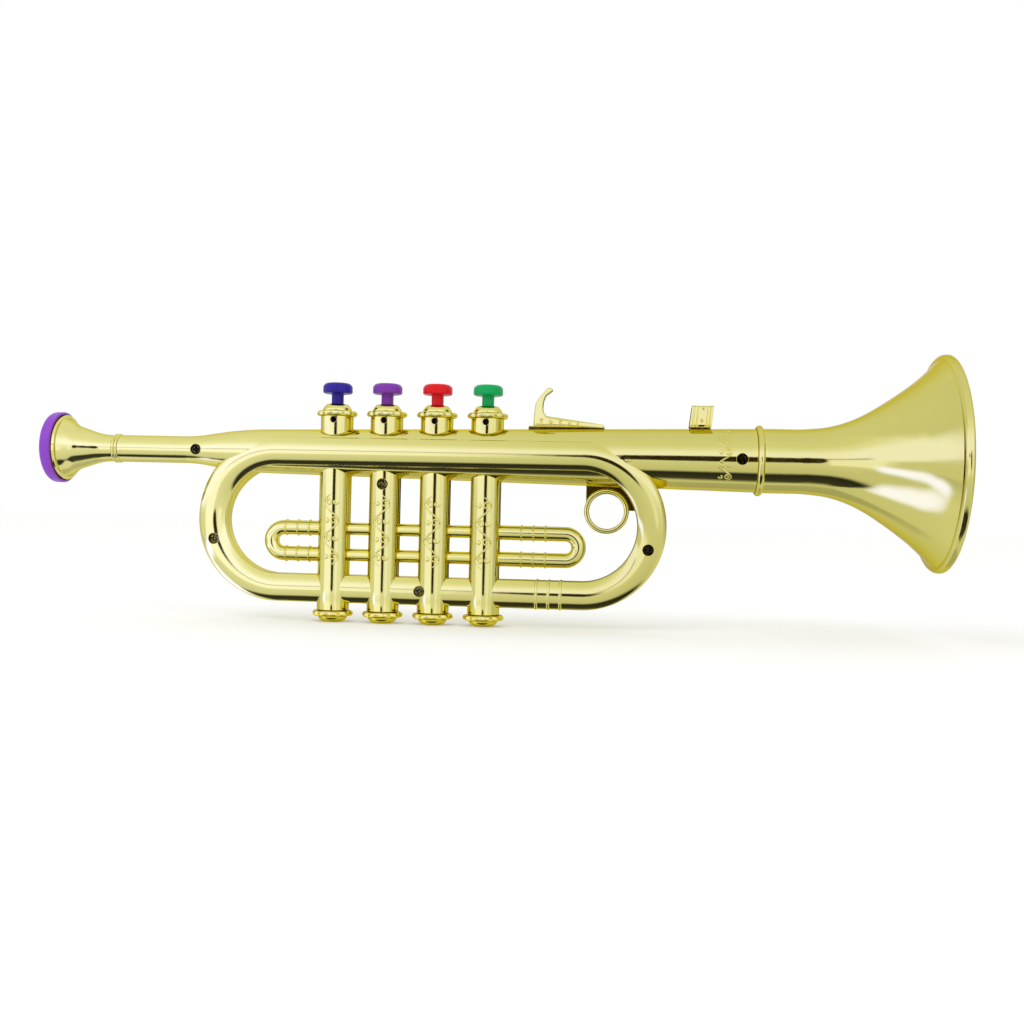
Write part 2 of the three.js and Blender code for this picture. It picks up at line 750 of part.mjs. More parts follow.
// Key: domed button, stem, the plate under the seal, and a pin inside the spring
function key(x) {
  const button = key_shares.map(([up, out]) => [
    key_head_bottom + key_head_height * up, key_head_radius * out,
  ]);
  const profile = [
    [key_plate_low - key_pin_length, 0], [key_plate_low - key_pin_length, key_pin_radius],
    [key_plate_low, key_pin_radius], [key_plate_low, key_plate_radius],
    [key_plate_top, key_plate_radius], [key_plate_top, key_stem_radius],
    [key_head_bottom, key_stem_radius], ...button,
  ];
  return solid(turned(profile, 'z', small_sides).translate(x, 0, 0));
}

// Rubber washer that closes the valve seat from below
function key_seal(x) {
  const bore = key_stem_radius + fit_gap;
  const low = seal_top - seal_height;
  const profile = [[low, bore], [low, seal_radius], [seal_top, seal_radius], [seal_top, bore], [low, bore]];
  return solid(turned(profile, 'z', rail_sides).translate(x, 0, 0));
}

// Coil spring between the reed block and the key's plate
function key_spring(x) {
  const low = block_top + fit_gap + spring_wire_radius;
  const high = key_plate_low - fit_gap - spring_wire_radius;
  const steps = spring_turns * coil_steps;
  const rings = Array.from({ length: steps + 1 }, (_, i) => {
    const turn = (2 * Math.PI * i) / coil_steps;
    const z = low + ((high - low) * i) / steps;
    return Array.from({ length: wire_sides }, (_, j) => {
      const angle = (2 * Math.PI * j) / wire_sides;
      const radius = spring_radius + spring_wire_radius * Math.cos(angle);
      const height = z + spring_wire_radius * Math.sin(angle);
      return new THREE.Vector3(x + radius * Math.cos(turn), radius * Math.sin(turn), height);
    });
  });
  return solid(lofted(rings, false));
}

// Reed block: a floor across the main tube's bore, with a cell wall between the keys
function reed_block() {
  const room = main_tube(wall + fit_gap, 0, hidden_tube_sides);
  const low = block_top - reed_block_height;
  const half_pitch = valve_pitch / 2;
  const half_wall = reed_cell_wall / 2;
  const ends = [-half_pitch - half_wall, last_valve + half_pitch + half_wall];
  const floor = solid(block([ends[0], -far, low], [ends[1], far, block_top]));
  const walls = [-half_pitch, ...valves.map((x) => x + half_pitch)].map(
    (x) => solid(block([x - half_wall, -far, low], [x + half_wall, far, far])),
  );
  const stud_top = block_top + reed_stud_height;
  const studs = valves.map(
    (x) => solid(bar(key_pin_radius, low, stud_top, 'z', hidden_sides).translate(x, 0, 0)),
  );
  const slots = valves.map((x) => solid(block(
    [x + reed_offset - reed_slot_width / 2, -reed_slot_length / 2, -far],
    [x + reed_offset + reed_slot_width / 2, reed_slot_length / 2, far],
  )));
  return joined([floor, ...walls]).intersect(room).add(joined(studs)).subtract(joined(slots));
}

function reed(x) {
  const low = block_top + fit_gap;
  const middle = x + reed_offset;
  const [across, along] = [reed_width / 2, reed_length / 2];
  return solid(block([middle - across, -along, low], [middle + across, along, low + reed_height]));
}

// An outline in X and Z with a thickness in Y
function upright(points, half_width) {
  const shape = new THREE.Shape(points.map(([x, z]) => new THREE.Vector2(x, z)));
  return raised(shape, -half_width, half_width, 1).rotateX(Math.PI / 2);
}

// Finger hook: a curved arm on a long wedge, on a foot that saddles the main tube
function finger_hook() {
  const start = last_valve + hook_offset;
  const end = start + hook_length;
  const crest = main_radius(end);
  const foot_top = crest + fit_gap + hook_foot_height;
  const place = ([along, up]) => {
    return new THREE.Vector2(start + hook_length * along, foot_top + hook_height * up);
  };
  const arm = new THREE.SplineCurve(hook_arm_shares.map(place)).getPoints(hook_steps);
  const wedge = hook_wedge_shares.map(place);
  const sunk = foot_top - hook_foot_height / 2;
  const outline = [
    [end, sunk], [arm[0].x, sunk], ...[...arm, ...wedge].map(({ x, y }) => [x, y]),
  ];
  const foot = block([start, -hook_foot_half_width, 0], [end, hook_foot_half_width, foot_top]);
  const low = block([-far, -far, -far], [far, far, main_radius(start) - hook_foot_height]);
  const seat = solid(low).add(main_tube(-fit_gap, 0, tube_sides));
  const above = solid(foot).add(solid(upright(outline, hook_half_width))).subtract(seat);
  return above.add(tongue(tongue_places[0], 0));
}

// Music-clip socket: a fluted block that leans towards the bell
function clip_socket() {
  const start = last_valve + socket_offset;
  const crest = main_radius(start + socket_length);
  const side = [];
  for (let i = 0; i <= socket_flutes * flute_steps; i += 1) {
    const along = i / (socket_flutes * flute_steps);
    const dip = socket_flute_depth * (0.5 - 0.5 * Math.cos(2 * Math.PI * along * socket_flutes));
    side.push([start + socket_length * along, socket_half_width - dip]);
  }
  const outline = [...side.map(([x, y]) => [x, -y]), ...side.reverse()];
  const plan = new THREE.Shape(outline.map(([x, y]) => new THREE.Vector2(x, y)));
  const barrel = raised(plan, 0, crest + socket_height, 1);
  const lean = new THREE.Matrix4().makeShear(0, 0, 0, 0, socket_lean / socket_height, 0);
  barrel.translate(0, 0, -crest).applyMatrix4(lean).translate(0, 0, crest);
  const seat = main_tube(-fit_gap, 0, tube_sides).add(solid(block([-far, -far, -far], [far, far, 0])));
  return solid(barrel).subtract(seat).add(tongue(tongue_places[1], 0));
}

const trumpet = new THREE.Group();

// One named piece of the trumpet
function add_piece(name, shape, material) {
  const mesh = shape.getMesh();
  const geometry = new THREE.BufferGeometry();
  geometry.setAttribute('position', new THREE.BufferAttribute(mesh.vertProperties, 3));
  geometry.setIndex(new THREE.BufferAttribute(mesh.triVerts, 1));
  geometry.computeVertexNormals();
  const piece = new THREE.Mesh(geometry, material);
  piece.name = name;
  trumpet.add(piece);
}

const whole_body = body();
add_piece('body_front', half_shell(whole_body, -1), gold);
add_piece('body_rear', half_shell(whole_body, 1), gold);
add_piece('bell', bell(), gold);
add_piece('mouthpiece_cup', mouthpiece_cup(), gold);
add_piece('mouthpiece_rim', mouthpiece_rim(), rim_purple);
valves.forEach((x, i) => {
  const color = key_colours[i % key_colours.length];
  const plastic = new THREE.MeshStandardMaterial({ color, roughness: 0.45, metalness: 0 });
  add_piece(`key_${i + 1}`, key(x), plastic);
  add_piece(`key_seal_${i + 1}`, key_seal(x), seal_rubber);
  add_piece(`key_spring_${i + 1}`, key_spring(x), spring_steel);
  add_piece(`valve_cap_${i + 1}`, valve_cap(x), gold);
  add_piece(`bottom_cap_${i + 1}`, bottom_cap(x), gold);
  add_piece(`reed_${i + 1}`, reed(x), reed_brass);
});
add_piece('reed_block', reed_block(), block_plastic);
add_piece('finger_hook', finger_hook(), gold);
add_piece('clip_socket', clip_socket(), gold);
screw_places().forEach((place, i) => add_piece(`screw_${i + 1}`, screw(place), screw_steel));

// The origin is the middle of the trumpet's box
const left_end = leadpipe_end - 2 * parting_gap - mouthpiece_length - rim_width;
const right_end = body_end + bell_length;
const foot_level = -casing_bottom - parting_gap - cap_flange_height - bottom_cap_crown_height;
trumpet.position.set(-(left_end + right_end) / 2, 0, -(bell_radius + foot_level) / 2);

export default trumpet;
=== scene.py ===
import math

import bpy
import numpy as np
from mathutils import Matrix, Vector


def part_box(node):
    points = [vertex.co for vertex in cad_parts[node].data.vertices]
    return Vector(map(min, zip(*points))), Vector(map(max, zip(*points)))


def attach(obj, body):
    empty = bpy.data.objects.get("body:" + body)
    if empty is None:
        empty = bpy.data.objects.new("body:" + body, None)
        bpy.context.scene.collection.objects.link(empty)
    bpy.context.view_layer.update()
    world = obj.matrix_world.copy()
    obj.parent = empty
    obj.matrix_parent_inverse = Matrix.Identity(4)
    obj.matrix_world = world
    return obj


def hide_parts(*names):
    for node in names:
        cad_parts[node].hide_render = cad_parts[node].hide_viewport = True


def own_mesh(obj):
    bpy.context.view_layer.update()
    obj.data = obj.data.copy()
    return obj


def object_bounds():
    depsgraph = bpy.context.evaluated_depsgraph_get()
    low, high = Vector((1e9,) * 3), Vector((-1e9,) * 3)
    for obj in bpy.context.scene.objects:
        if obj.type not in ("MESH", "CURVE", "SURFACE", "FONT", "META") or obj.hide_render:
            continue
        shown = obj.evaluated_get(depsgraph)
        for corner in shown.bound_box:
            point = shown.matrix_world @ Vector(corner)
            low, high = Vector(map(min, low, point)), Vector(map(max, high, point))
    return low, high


bl_info = {
    "name": "Toy Trumpet Finish",
    "version": (1, 0, 0),
    "blender": (4, 5, 0),
    "location": "3D View > Sidebar > Trumpet",
    "description": "Finished surfaces and materials of a metallised toy trumpet",
    "category": "Object",
}

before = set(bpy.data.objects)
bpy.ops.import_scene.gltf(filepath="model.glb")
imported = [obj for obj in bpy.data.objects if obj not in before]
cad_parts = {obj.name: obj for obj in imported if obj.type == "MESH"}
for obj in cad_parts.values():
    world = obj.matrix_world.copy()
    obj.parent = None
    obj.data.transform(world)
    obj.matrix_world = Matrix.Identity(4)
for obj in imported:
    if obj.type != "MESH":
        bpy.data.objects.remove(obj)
SOLID_BOX = [[float(v) for v in corner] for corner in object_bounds()]

HOUSING = "housing"
VALVES = 4
FULL_TURN = 2 * math.pi


def mm(length):
    """A length or a list of lengths in millimetres, in metres."""
    return np.multiply(length, 0.001)


def middle(node, axis):
    """Middle of a node's box along one axis, in metres."""
    low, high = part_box(node)
    return (low[axis] + high[axis]) / 2


# The first valve's axis and the main tube's axis, which every place is measured from
ORIGIN = np.array([middle("key_1", 0), 0.0, middle("mouthpiece_cup", 2)])
VALVE_PITCH = (middle("key_4", 0) - middle("key_1", 0)) / (VALVES - 1)
LAST_VALVE = VALVE_PITCH * (VALVES - 1)
PIPE_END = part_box("body_front")[0][0] - ORIGIN[0]
BODY_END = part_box("body_front")[1][0] - ORIGIN[0]
BELL_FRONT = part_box("bell")[1][0] - ORIGIN[0]
BELL_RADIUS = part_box("bell")[1][2] - ORIGIN[2]


# Sizes and colours that a user would change

def length(name, description, default, least):
    """A length in the panel, with its default and least value in millimetres."""
    return bpy.props.FloatProperty(
        name=name, description=description, default=mm(default), min=mm(least), unit="LENGTH")


def hex_colour(name, description, default):
    """A colour in the panel, as sRGB hex digits."""
    return bpy.props.StringProperty(name=name, description=description, default=default)


class TubeSizes(bpy.types.PropertyGroup):
    """Main tube, casings and the seam between the two half shells"""
    wall: length("Wall", "Thickness of the moulded shells", 1.8, 0.8)
    pipe_radius: length("Pipe radius", "Outer radius of the straight pipe behind the mouthpiece",
                        6.45, 3)
    swell_radius: length("Swell radius",
                         "Outer radius where the pipe has opened into the main tube", 10.4, 5)
    end_radius: length("End radius", "Outer radius of the main tube at the bell's collar", 14.6, 8)
    casing_radius: length("Casing radius", "Radius of a valve casing between the windows", 7.9, 5)
    casing_half_width: length(
        "Casing half width", "Half the width between a casing's flat window walls", 6.75, 4)
    seam_depth: length("Seam depth", "Depth of the groove where the half shells meet", 0.22, 0)
    seam_width: length("Seam width", "Half width of the groove where the half shells meet",
                       0.22, 0.05)


class LoopSizes(bpy.types.PropertyGroup):
    """The long loop, the small slides inside it and the finger ring"""
    bend_radius: length("Bend radius", "Radius of the loop's bends, to the middle of the tube",
                        32.2, 20)
    half_width: length("Half width", "Half the width of the loop, seen from the front", 6.6, 3)
    wall_depth: length("Wall depth", "Depth of the loop's straight wall from the seam", 3.85, 1)
    crown: length("Crown", "Rise of the loop's rounded face over its straight walls", 2.6, 0.5)
    rib_height: length("Rib height", "Height of the thin ribs on the small slides", 0.5, 0)
    slide_radius: length("Slide radius", "Radius of the small slides' bent ends", 3.45, 1)
    rail_radius: length("Rail radius", "Radius of the small slides between the casings", 2.95, 1)
    ring_outer: length("Finger ring radius", "Outer radius of the finger ring", 10.4, 8.5)
    ring_inner: length("Finger hole radius", "Radius of the hole in the finger ring", 8.1, 5)


class CapSizes(bpy.types.PropertyGroup):
    """Beaded caps over and under the valves"""
    flange_radius: length("Flange radius", "Radius of the flange between its beads", 9.0, 7)
    bead_height: length("Bead height", "How far each bead stands out of the flange", 0.65, 0)
    beads: bpy.props.IntProperty(
        name="Beads", description="Number of beads round a flange", default=10, min=3, max=24)


class Colours(bpy.types.PropertyGroup):
    """Colours of the trumpet's finishes"""
    gold: hex_colour("Gold", "Tinted lacquer over the vacuum-metallised shells", "#D2CC76")
    rim: hex_colour("Mouthpiece rim", "Soft moulded rim of the mouthpiece", "#9148C8")
    key_1: hex_colour("First key", "First key", "#2C1C92")
    key_2: hex_colour("Second key", "Second key", "#7C36A4")
    key_3: hex_colour("Third key", "Third key", "#DC0B12")
    key_4: hex_colour("Fourth key", "Fourth key", "#00A456")
    screw: hex_colour("Screws", "Blackened screws", "#15130D")
    floor: hex_colour("Floor", "Pale studio floor", "#F4F4F2")


# The values that the panel holds

def tube():
    return bpy.context.scene.trumpet_tube


def loop():
    return bpy.context.scene.trumpet_loop


def caps():
    return bpy.context.scene.trumpet_caps


def colours():
    return bpy.context.scene.trumpet_colours


# Curves and skins worked out as whole arrays, in metres from the first valve's axis

# For each axis that a profile turns about: that axis, where its angle starts, and a quarter turn on
AXES = {
    "x": np.array([(1, 0, 0), (0, 0, 1), (0, -1, 0)], float),
    "y": np.array([(0, 1, 0), (0, 0, 1), (1, 0, 0)], float),
    "z": np.array([(0, 0, 1), (1, 0, 0), (0, 1, 0)], float),
}
# Places beside the seam, in half widths of its groove
SEAM_STEPS = np.array([0, 0.35, 0.7, 1.1, 1.7])
# Circles no larger than this have no seam, so that a tube's closed ends stay round
SEAMLESS = mm(0.6)
# Places no farther apart than this are one
SAME_PLACE = 1e-9
# Cutting tools that go right through reach this far to either side
PAST = mm(30)
# Faces that meet at more degrees than this keep a sharp edge
CREASE = 28


def smooth_through(stations, values, places):
    """Smooth curve through values.

    Between each two, a cubic whose slopes are its neighbours' chords.
    """
    stations, values = np.asarray(stations, float), np.asarray(values, float)
    slopes = np.gradient(values, stations)
    k = np.clip(np.searchsorted(stations, places) - 1, 0, len(stations) - 2)
    span = stations[k + 1] - stations[k]
    t = (places - stations[k]) / span
    return ((2 * t**3 - 3 * t**2 + 1) * values[k] + (t**3 - 2 * t**2 + t) * span * slopes[k]
            + (3 * t**2 - 2 * t**3) * values[k + 1] + (t**3 - t**2) * span * slopes[k + 1])


def eased(values, start, end):
    """0 before start, 1 after end, and three t squared less two t cubed between them."""
    t = np.clip((values - start) / (end - start), 0, 1)
    return t * t * (3 - 2 * t)


def seam_dip(off):
    """Depth of the groove at a distance off the parting plane: a bell curve of that distance."""
    return tube().seam_depth * np.exp(-((off / tube().seam_width) ** 2))


def seamed(level, off, radius):
    """Levels of circles less the groove's depth, towards the middle on both sides."""
    return level - np.sign(np.round(level, 6)) * seam_dip(off) * (radius > SEAMLESS)


def turn_angles(count, radius=None):
    """Even angles of one turn and, where a radius is given, closer ones beside the seam."""
    even = np.linspace(0, FULL_TURN, count, endpoint=False)
    if radius is None:
        return even
    near = tube().seam_width / radius
    beside = near * np.r_[-SEAM_STEPS[:0:-1], SEAM_STEPS]
    far = even[np.abs(np.sin(even)) > np.sin(2.2 * near)]
    return np.sort(np.concatenate([far, beside % FULL_TURN, np.pi + beside]))


def turned(along, radius, axis, place=(0, 0, 0), angles=None, seam=False, half_width=None, lobes=0):
    """Grid of a profile turned about an axis: each row is a circle of that radius at that station.

    A half width flattens two sides, the seam draws the points in beside the plane Y = 0,
    and lobes are added to the radius, one value for each row and column.
    """
    angles = turn_angles(96) if angles is None else angles
    radius = np.asarray(radius, float)[:, None] + lobes
    level, off = radius * np.cos(angles), radius * np.sin(angles)
    if half_width is not None:
        limit = np.asarray(half_width)[:, None]
        level = np.clip(level, -limit, limit)
    if seam:
        level = seamed(level, off, radius)
    turn_axis, level_axis, off_axis = AXES[axis]
    along = np.asarray(along, float)[:, None, None] * turn_axis
    return np.asarray(place) + along + level[..., None] * level_axis + off[..., None] * off_axis


def straight(x, level, up):
    """Places along X at one level, and the way out of a tube's middle there: up or down."""
    return np.stack([x, 0 * x, np.full(len(x), level)], 1), np.tile([0.0, 0, up], (len(x), 1))


def half_circle(centre, level, radius, side, down=1, count=41):
    """Places round half a circle to one side, from top to bottom if down is 1, and the ways out."""
    turn = down * np.linspace(0.5, -0.5, count)[:, None] * math.pi
    out = np.hstack([side * np.cos(turn), 0 * turn, np.sin(turn)])
    return np.array([centre, 0, level]) + radius * out, out


def joined(*legs):
    """A path and its ways out, from those of its legs."""
    return [np.concatenate(part) for part in zip(*legs)]


def carried(path, out, level, off):
    """Grid of a section carried along a path in the plane Y = 0.

    Level goes the way out, off along Y.
    """
    return path[:, None] + level[..., None] * out[:, None] + off[..., None] * np.array([0, 1, 0])


def half_round(x, rings, half):
    """1 at each ring's middle and 0 past its half width: the height of a half circle."""
    near = np.abs(x[:, None] - rings).min(1) / half
    return np.sqrt(np.clip(1 - near**2, 0, 1))


def skin(points, rows_join=False):
    """Points and faces of a closed skin over a grid.

    Columns join, rows join or end in poles or flats.
    """
    rows, columns = points.shape[:2]
    number = np.arange(rows * columns).reshape(rows, columns)
    ends = []
    if not rows_join:
        for row, order in ((0, 1), (-1, -1)):
            if np.ptp(points[row], axis=0).max() < SAME_PLACE:
                number[row] = number[row, 0]
            else:
                ends.append(number[row][::-order].tolist())
    i = np.arange(rows if rows_join else rows - 1)
    here, after = number[i], number[(i + 1) % rows]
    quads = np.stack([here, np.roll(here, -1, 1), np.roll(after, -1, 1), after], -1).reshape(-1, 4)
    low_pole, high_pole = quads[:, 0] == quads[:, 1], quads[:, 2] == quads[:, 3]
    whole = quads[~(low_pole | high_pole)]
    faces = whole.tolist() + quads[low_pole][:, 1:].tolist() + quads[high_pole][:, :3].tolist()
    faces += ends
    kept = np.unique(number)
    renumber = dict(zip(kept.tolist(), range(len(kept))))
    faces = [[renumber[v] for v in face] for face in faces]
    places = points.reshape(-1, 3)[kept]
    first = np.array([face[:3] for face in faces])
    wide = np.array([[face[0], face[2], face[3]] for face in faces if len(face) == 4])
    triangles = np.concatenate([first, wide]) if len(wide) else first
    a, b, c = places[triangles[:, 0]], places[triangles[:, 1]], places[triangles[:, 2]]
    if np.einsum("ij,ij->i", a - places.mean(0),
                 np.cross(b - places.mean(0), c - places.mean(0))).sum() < 0:
        faces = [face[::-1] for face in faces]
    return places, faces


def put(name, *skins):
    """A mesh object from skins, at the frame's origin, with its place in its mesh."""
    places, faces, count = [], [], 0
    for points, some in skins:
        places.append(points)
        faces += [[v + count for v in face] for face in some]
        count += len(points)
    mesh = bpy.data.meshes.new(name)
    mesh.from_pydata((np.concatenate(places) + ORIGIN).tolist(), [], faces)
    mesh.update()
    piece = bpy.data.objects.new(name, mesh)
    bpy.context.scene.collection.objects.link(piece)
    return piece


def settled(piece):
    """Turns a piece's modifiers into its mesh."""
    graph = bpy.context.evaluated_depsgraph_get()
    mesh = bpy.data.meshes.new_from_object(piece.evaluated_get(graph))
    piece.modifiers.clear()
    old, piece.data = piece.data, mesh
    bpy.data.meshes.remove(old)
    return piece


def worked(piece, operation, tools):
    """Joins tools to a piece, or cuts them from it, with one Boolean modifier for each."""
    for tool in tools:
        step = piece.modifiers.new(tool.name, "BOOLEAN")
        step.operation, step.solver, step.object = operation, "MANIFOLD", tool
    settled(piece)
    for tool in tools:
        bpy.data.objects.remove(tool)
    return piece


def smooth(piece, crease):
    """Smooth shading with creases kept, and normals that follow the larger faces."""
    mesh = piece.data
    mesh.polygons.foreach_set("use_smooth", np.ones(len(mesh.polygons), bool))
    mesh.set_sharp_from_angle(angle=math.radians(crease))
    step = piece.modifiers.new("Weighted normals", "WEIGHTED_NORMAL")
    step.keep_sharp = True
    return piece


def dress(piece, material, slot, body, *nodes, crease=CREASE):
    """Shades a piece, gives it its material, says what it rides on and hides the parts it stands
    for.
    """
    smooth(piece, crease)
    piece.data.materials.clear()
    piece.data.materials.append(material)
    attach(piece, body)
    if nodes:
        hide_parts(*nodes)
    return piece


def column(name, radius, x, z, low=-PAST, high=PAST, axis="y", sides=48):
    """A plain round tool for cutting, along Y unless another axis is given."""
    place = {"y": (x, 0, z), "z": (x, 0, 0)}[axis]
    points = turned([low, low, high, high], [0, radius, radius, 0], axis, place, turn_angles(sides))
    return put(name, skin(points))


def slab(name, x, y, z):
    """A block between two places on each axis."""
    grid = np.empty((2, 4, 3))
    grid[..., 0], grid[..., 2] = np.array(x)[[0, 1, 1, 0]], np.array(z)[[0, 0, 1, 1]]
    grid[..., 1] = np.array(y)[:, None]
    return put(name, skin(grid))


# Main tube and the two half shells

SWELL_START = PIPE_END + mm(33.8)
SWELL_END = SWELL_START + mm(35.6)
SWELL_ALONG = np.array([0, 0.16, 0.38, 0.6, 0.8, 1.0])
SWELL_RISE = np.array([0, 0.11, 0.42, 0.71, 0.89, 1.0])
LOOP_LEFT = mm(-26.1)
LOOP_RIGHT = LAST_VALVE + mm(45.5)
FOOT = mm(-74.7)
CASING_TOP = mm(17.1)
SOUND_HOLE_RADIUS = mm(1.5)
SOUND_HOLE_LEVEL = mm(15.3)
RAIL_LEVELS = mm([-36.0, -48.4])
COIL_FOOT = mm(-3.2)
COIL_HEIGHT = mm(10.9)


def loop_bottom():
    """Level of the middle of the loop's lower run."""
    return -2 * loop().bend_radius


def main_radius(x):
    """Straight pipe, then a smooth swell, then a straight cone to the bell's collar."""
    x = np.asarray(x, float)
    share = np.clip((x - SWELL_START) / (SWELL_END - SWELL_START), 0, 1)
    rise = smooth_through(SWELL_ALONG, SWELL_RISE, share)
    sizes = tube()
    swell = sizes.pipe_radius + (sizes.swell_radius - sizes.pipe_radius) * rise
    cone = np.clip((x - SWELL_END) / (BODY_END - SWELL_END), 0, 1.2)
    return swell + (sizes.end_radius - sizes.swell_radius) * cone


def main_tube(thinned=0.0, overrun=0.0):
    """The main tube's profile turned about its own axis, closed by flat ends."""
    x = np.concatenate([
        np.linspace(PIPE_END - overrun, SWELL_START, 12, endpoint=False),
        np.linspace(SWELL_START, SWELL_END, 48, endpoint=False),
        np.linspace(SWELL_END, BODY_END + overrun, 40)])
    radius = main_radius(x) - thinned
    along, radius = np.r_[x[0], x, x[-1]], np.r_[0, radius, 0]
    angles = turn_angles(144, mm(10)) if not thinned else turn_angles(96)
    return skin(turned(along, radius, "x", angles=angles, seam=not thinned))


def loop_section():
    """Quarter of the loop's section as across, off and a share of the wall's depth.

    A straight wall, an eased corner of a small radius, and a shallow arc over the face.
    """
    half, crown, corner = loop().half_width, loop().crown, mm(1.1)
    arc = (half**2 + crown**2) / (2 * crown)
    corner_off = crown - arc + math.sqrt((arc - corner) ** 2 - (half - corner) ** 2)
    turn = math.atan2(corner_off - crown + arc, half - corner)
    low, high = 0.4, 0.75
    bend = np.linspace(0, turn, 7)
    face = np.linspace(turn, math.pi / 2, 12)[1:]
    across = np.r_[np.full(len(SEAM_STEPS) + 2, half),
                   half - corner + corner * np.cos(bend), arc * np.cos(face)]
    off = np.r_[tube().seam_width * SEAM_STEPS, low * corner_off, high * corner_off,
                corner_off + corner * np.sin(bend), crown - arc + arc * np.sin(face)]
    share = np.r_[np.zeros(len(SEAM_STEPS)), low, high, np.ones(len(bend) + len(face))]
    return across, off, share


def loop_tube():
    """The loop's section carried round two half circles and the two runs between them.

    Its depth grows with the height over the lower run, until the upper run stands on the main tube.
    """
    radius, half_width = loop().bend_radius, loop().half_width
    bead = mm(0.6)
    steps = bead * np.array([-1.01, -0.97, -0.8, -0.45, 0, 0.45, 0.8, 0.97, 1.01])
    rings = LAST_VALVE + mm([25, 30.6, 36.2])
    run = np.r_[(rings[:, None] + steps).ravel(), np.linspace(LOOP_LEFT, LOOP_RIGHT, 30)[1:-1]]
    path, out = joined(
        half_circle(LOOP_RIGHT, -radius, radius, 1, 1, 73),
        straight(np.sort(run)[::-1], -2 * radius, -1),
        half_circle(LOOP_LEFT, -radius, radius, -1, -1, 73),
        straight(np.linspace(LOOP_LEFT, LOOP_RIGHT, 60)[1:-1], 0, 1))
    bump = mm(0.35) * half_round(path[:, 0], rings, bead) * (path[:, 2] < -1.99 * radius)
    tall = np.maximum(main_radius(path[:, 0]), half_width)
    over = np.sqrt(tall**2 - half_width**2) + mm(0.25)
    climb = np.clip(1 + path[:, 2] / (2 * radius), 0, 1)
    depth = loop().wall_depth + (over - loop().wall_depth) * climb
    across, off, share = loop_section()
    quarters = []
    for u_sign, y_sign in ((1, 1), (-1, 1), (-1, -1), (1, -1)):
        order = slice(None, -1) if u_sign == y_sign else slice(None, 0, -1)
        quarters.append(np.stack([u_sign * across[order], y_sign * off[order],
                                  y_sign * share[order]]))
    u, y, y_share = np.concatenate(quarters, 1)
    off = y + y_share * (depth + bump)[:, None]
    level = u * (1 + bump / half_width)[:, None] - np.sign(u) * (np.abs(u) > mm(1)) * seam_dip(off)
    return skin(carried(path, out, level, off), True)


def casing(x):
    """A casing turned about its valve.

    Round at the top and foot, with two flat sides between the windows.
    """
    low, bottom, edge = FOOT, loop_bottom(), mm(0.35)
    inner, between, upper = mm(7.5), tube().casing_radius, mm(7.65)
    wide, flat = mm(20), tube().casing_half_width
    share = np.linspace(1, 0, 14)
    z = np.r_[low, low, low + edge, bottom - mm(8.2) * share, 0, 0, CASING_TOP, CASING_TOP]
    radius = np.r_[0, inner - edge, inner, between + (inner - between) * eased(share, 0, 1),
                   between, upper, upper, 0]
    limit = np.r_[wide, wide, wide, flat + (inner - flat) * eased(share, 0.55, 1),
                  flat, wide, wide, wide]
    return skin(turned(z, radius, "z", (x, 0, 0), turn_angles(120, mm(7.7)), True, limit))


def slide_crook(centre, casing_x, side, ribs):
    """A round tube out of the casing, round a half circle and back, with thin half-round ribs."""
    rib = mm(0.4)
    steps = rib * np.array([-1.01, -0.95, -0.7, -0.35, 0, 0.35, 0.7, 0.95, 1.01])
    leg = np.r_[(casing_x + side * (ribs[:, None] + steps)).ravel(),
                casing_x, centre - side * mm(0.3)]
    leg = np.sort(leg)[::side]
    upper, lower = RAIL_LEVELS
    path, out = joined(
        straight(np.r_[leg[0], leg], upper, 1),
        half_circle(centre, RAIL_LEVELS.mean(), (upper - lower) / 2, side),
        straight(np.r_[leg[::-1], leg[0]], lower, -1))
    ribbed = half_round(path[:, 0], casing_x + side * ribs, rib)
    size = loop().slide_radius + loop().rib_height * ribbed
    size[[0, -1]] = 0
    angles = turn_angles(64, mm(3.4))
    size = size[:, None]
    level, off = size * np.cos(angles), size * np.sin(angles)
    return skin(carried(path, out, seamed(level, off, size), off))


def ring_profile(low, high, inner, outer, corner, steps=6):
    """Closed outline of a wall with rounded corners, as along and radius."""
    turn = np.linspace(0, math.pi / 2, steps)
    corners = [(high, outer, 0), (high, inner, 1), (low, inner, 2), (low, outer, 3)]
    along, radius = [], []
    for a, r, quarter in corners:
        a_in = a - corner * (1 if quarter < 2 else -1)
        r_in = r - corner * (1 if quarter in (0, 3) else -1)
        angle = turn + quarter * math.pi / 2
        along.append(a_in + corner * np.sin(angle))
        radius.append(r_in + corner * np.cos(angle))
    return np.concatenate(along), np.concatenate(radius)


def finger_ring():
    """A rounded wall turned about the finger hole, and the thin web that ties it to the bend."""
    x, z = LAST_VALVE + mm(56.6), mm(-24.9)
    inner, outer = loop().ring_inner, loop().ring_outer
    along, radius = ring_profile(mm(-3), mm(3), inner, outer, mm(0.9))
    ring = put("Ring", skin(turned(along, radius, "y", (x, 0, z), turn_angles(120)), True))
    web = slab("Web", (LAST_VALVE + mm(47), LAST_VALVE + mm(77.7)), mm([-1.2, 1.2]), (mm(-24.4), 0))
    worked(web, "DIFFERENCE", [column("Opening", (inner + outer) / 2, x, z, mm(-9), mm(9))])
    return [ring, web]


def screw_places():
    """Screws in X and Z: lead pipe, left bend, first casing, bottom run, right bend, bell end."""
    bend, turn = loop().bend_radius, math.pi * 0.1
    across, down = bend * math.cos(turn), -bend * (1 + math.sin(turn))
    return [(mm(-66.6), 0), (LOOP_LEFT - across, down), (VALVE_PITCH, mm(-14.6)),
            (2 * VALVE_PITCH - mm(5.6), loop_bottom()), (LOOP_RIGHT + across, down),
            (BODY_END - mm(7), 0)]


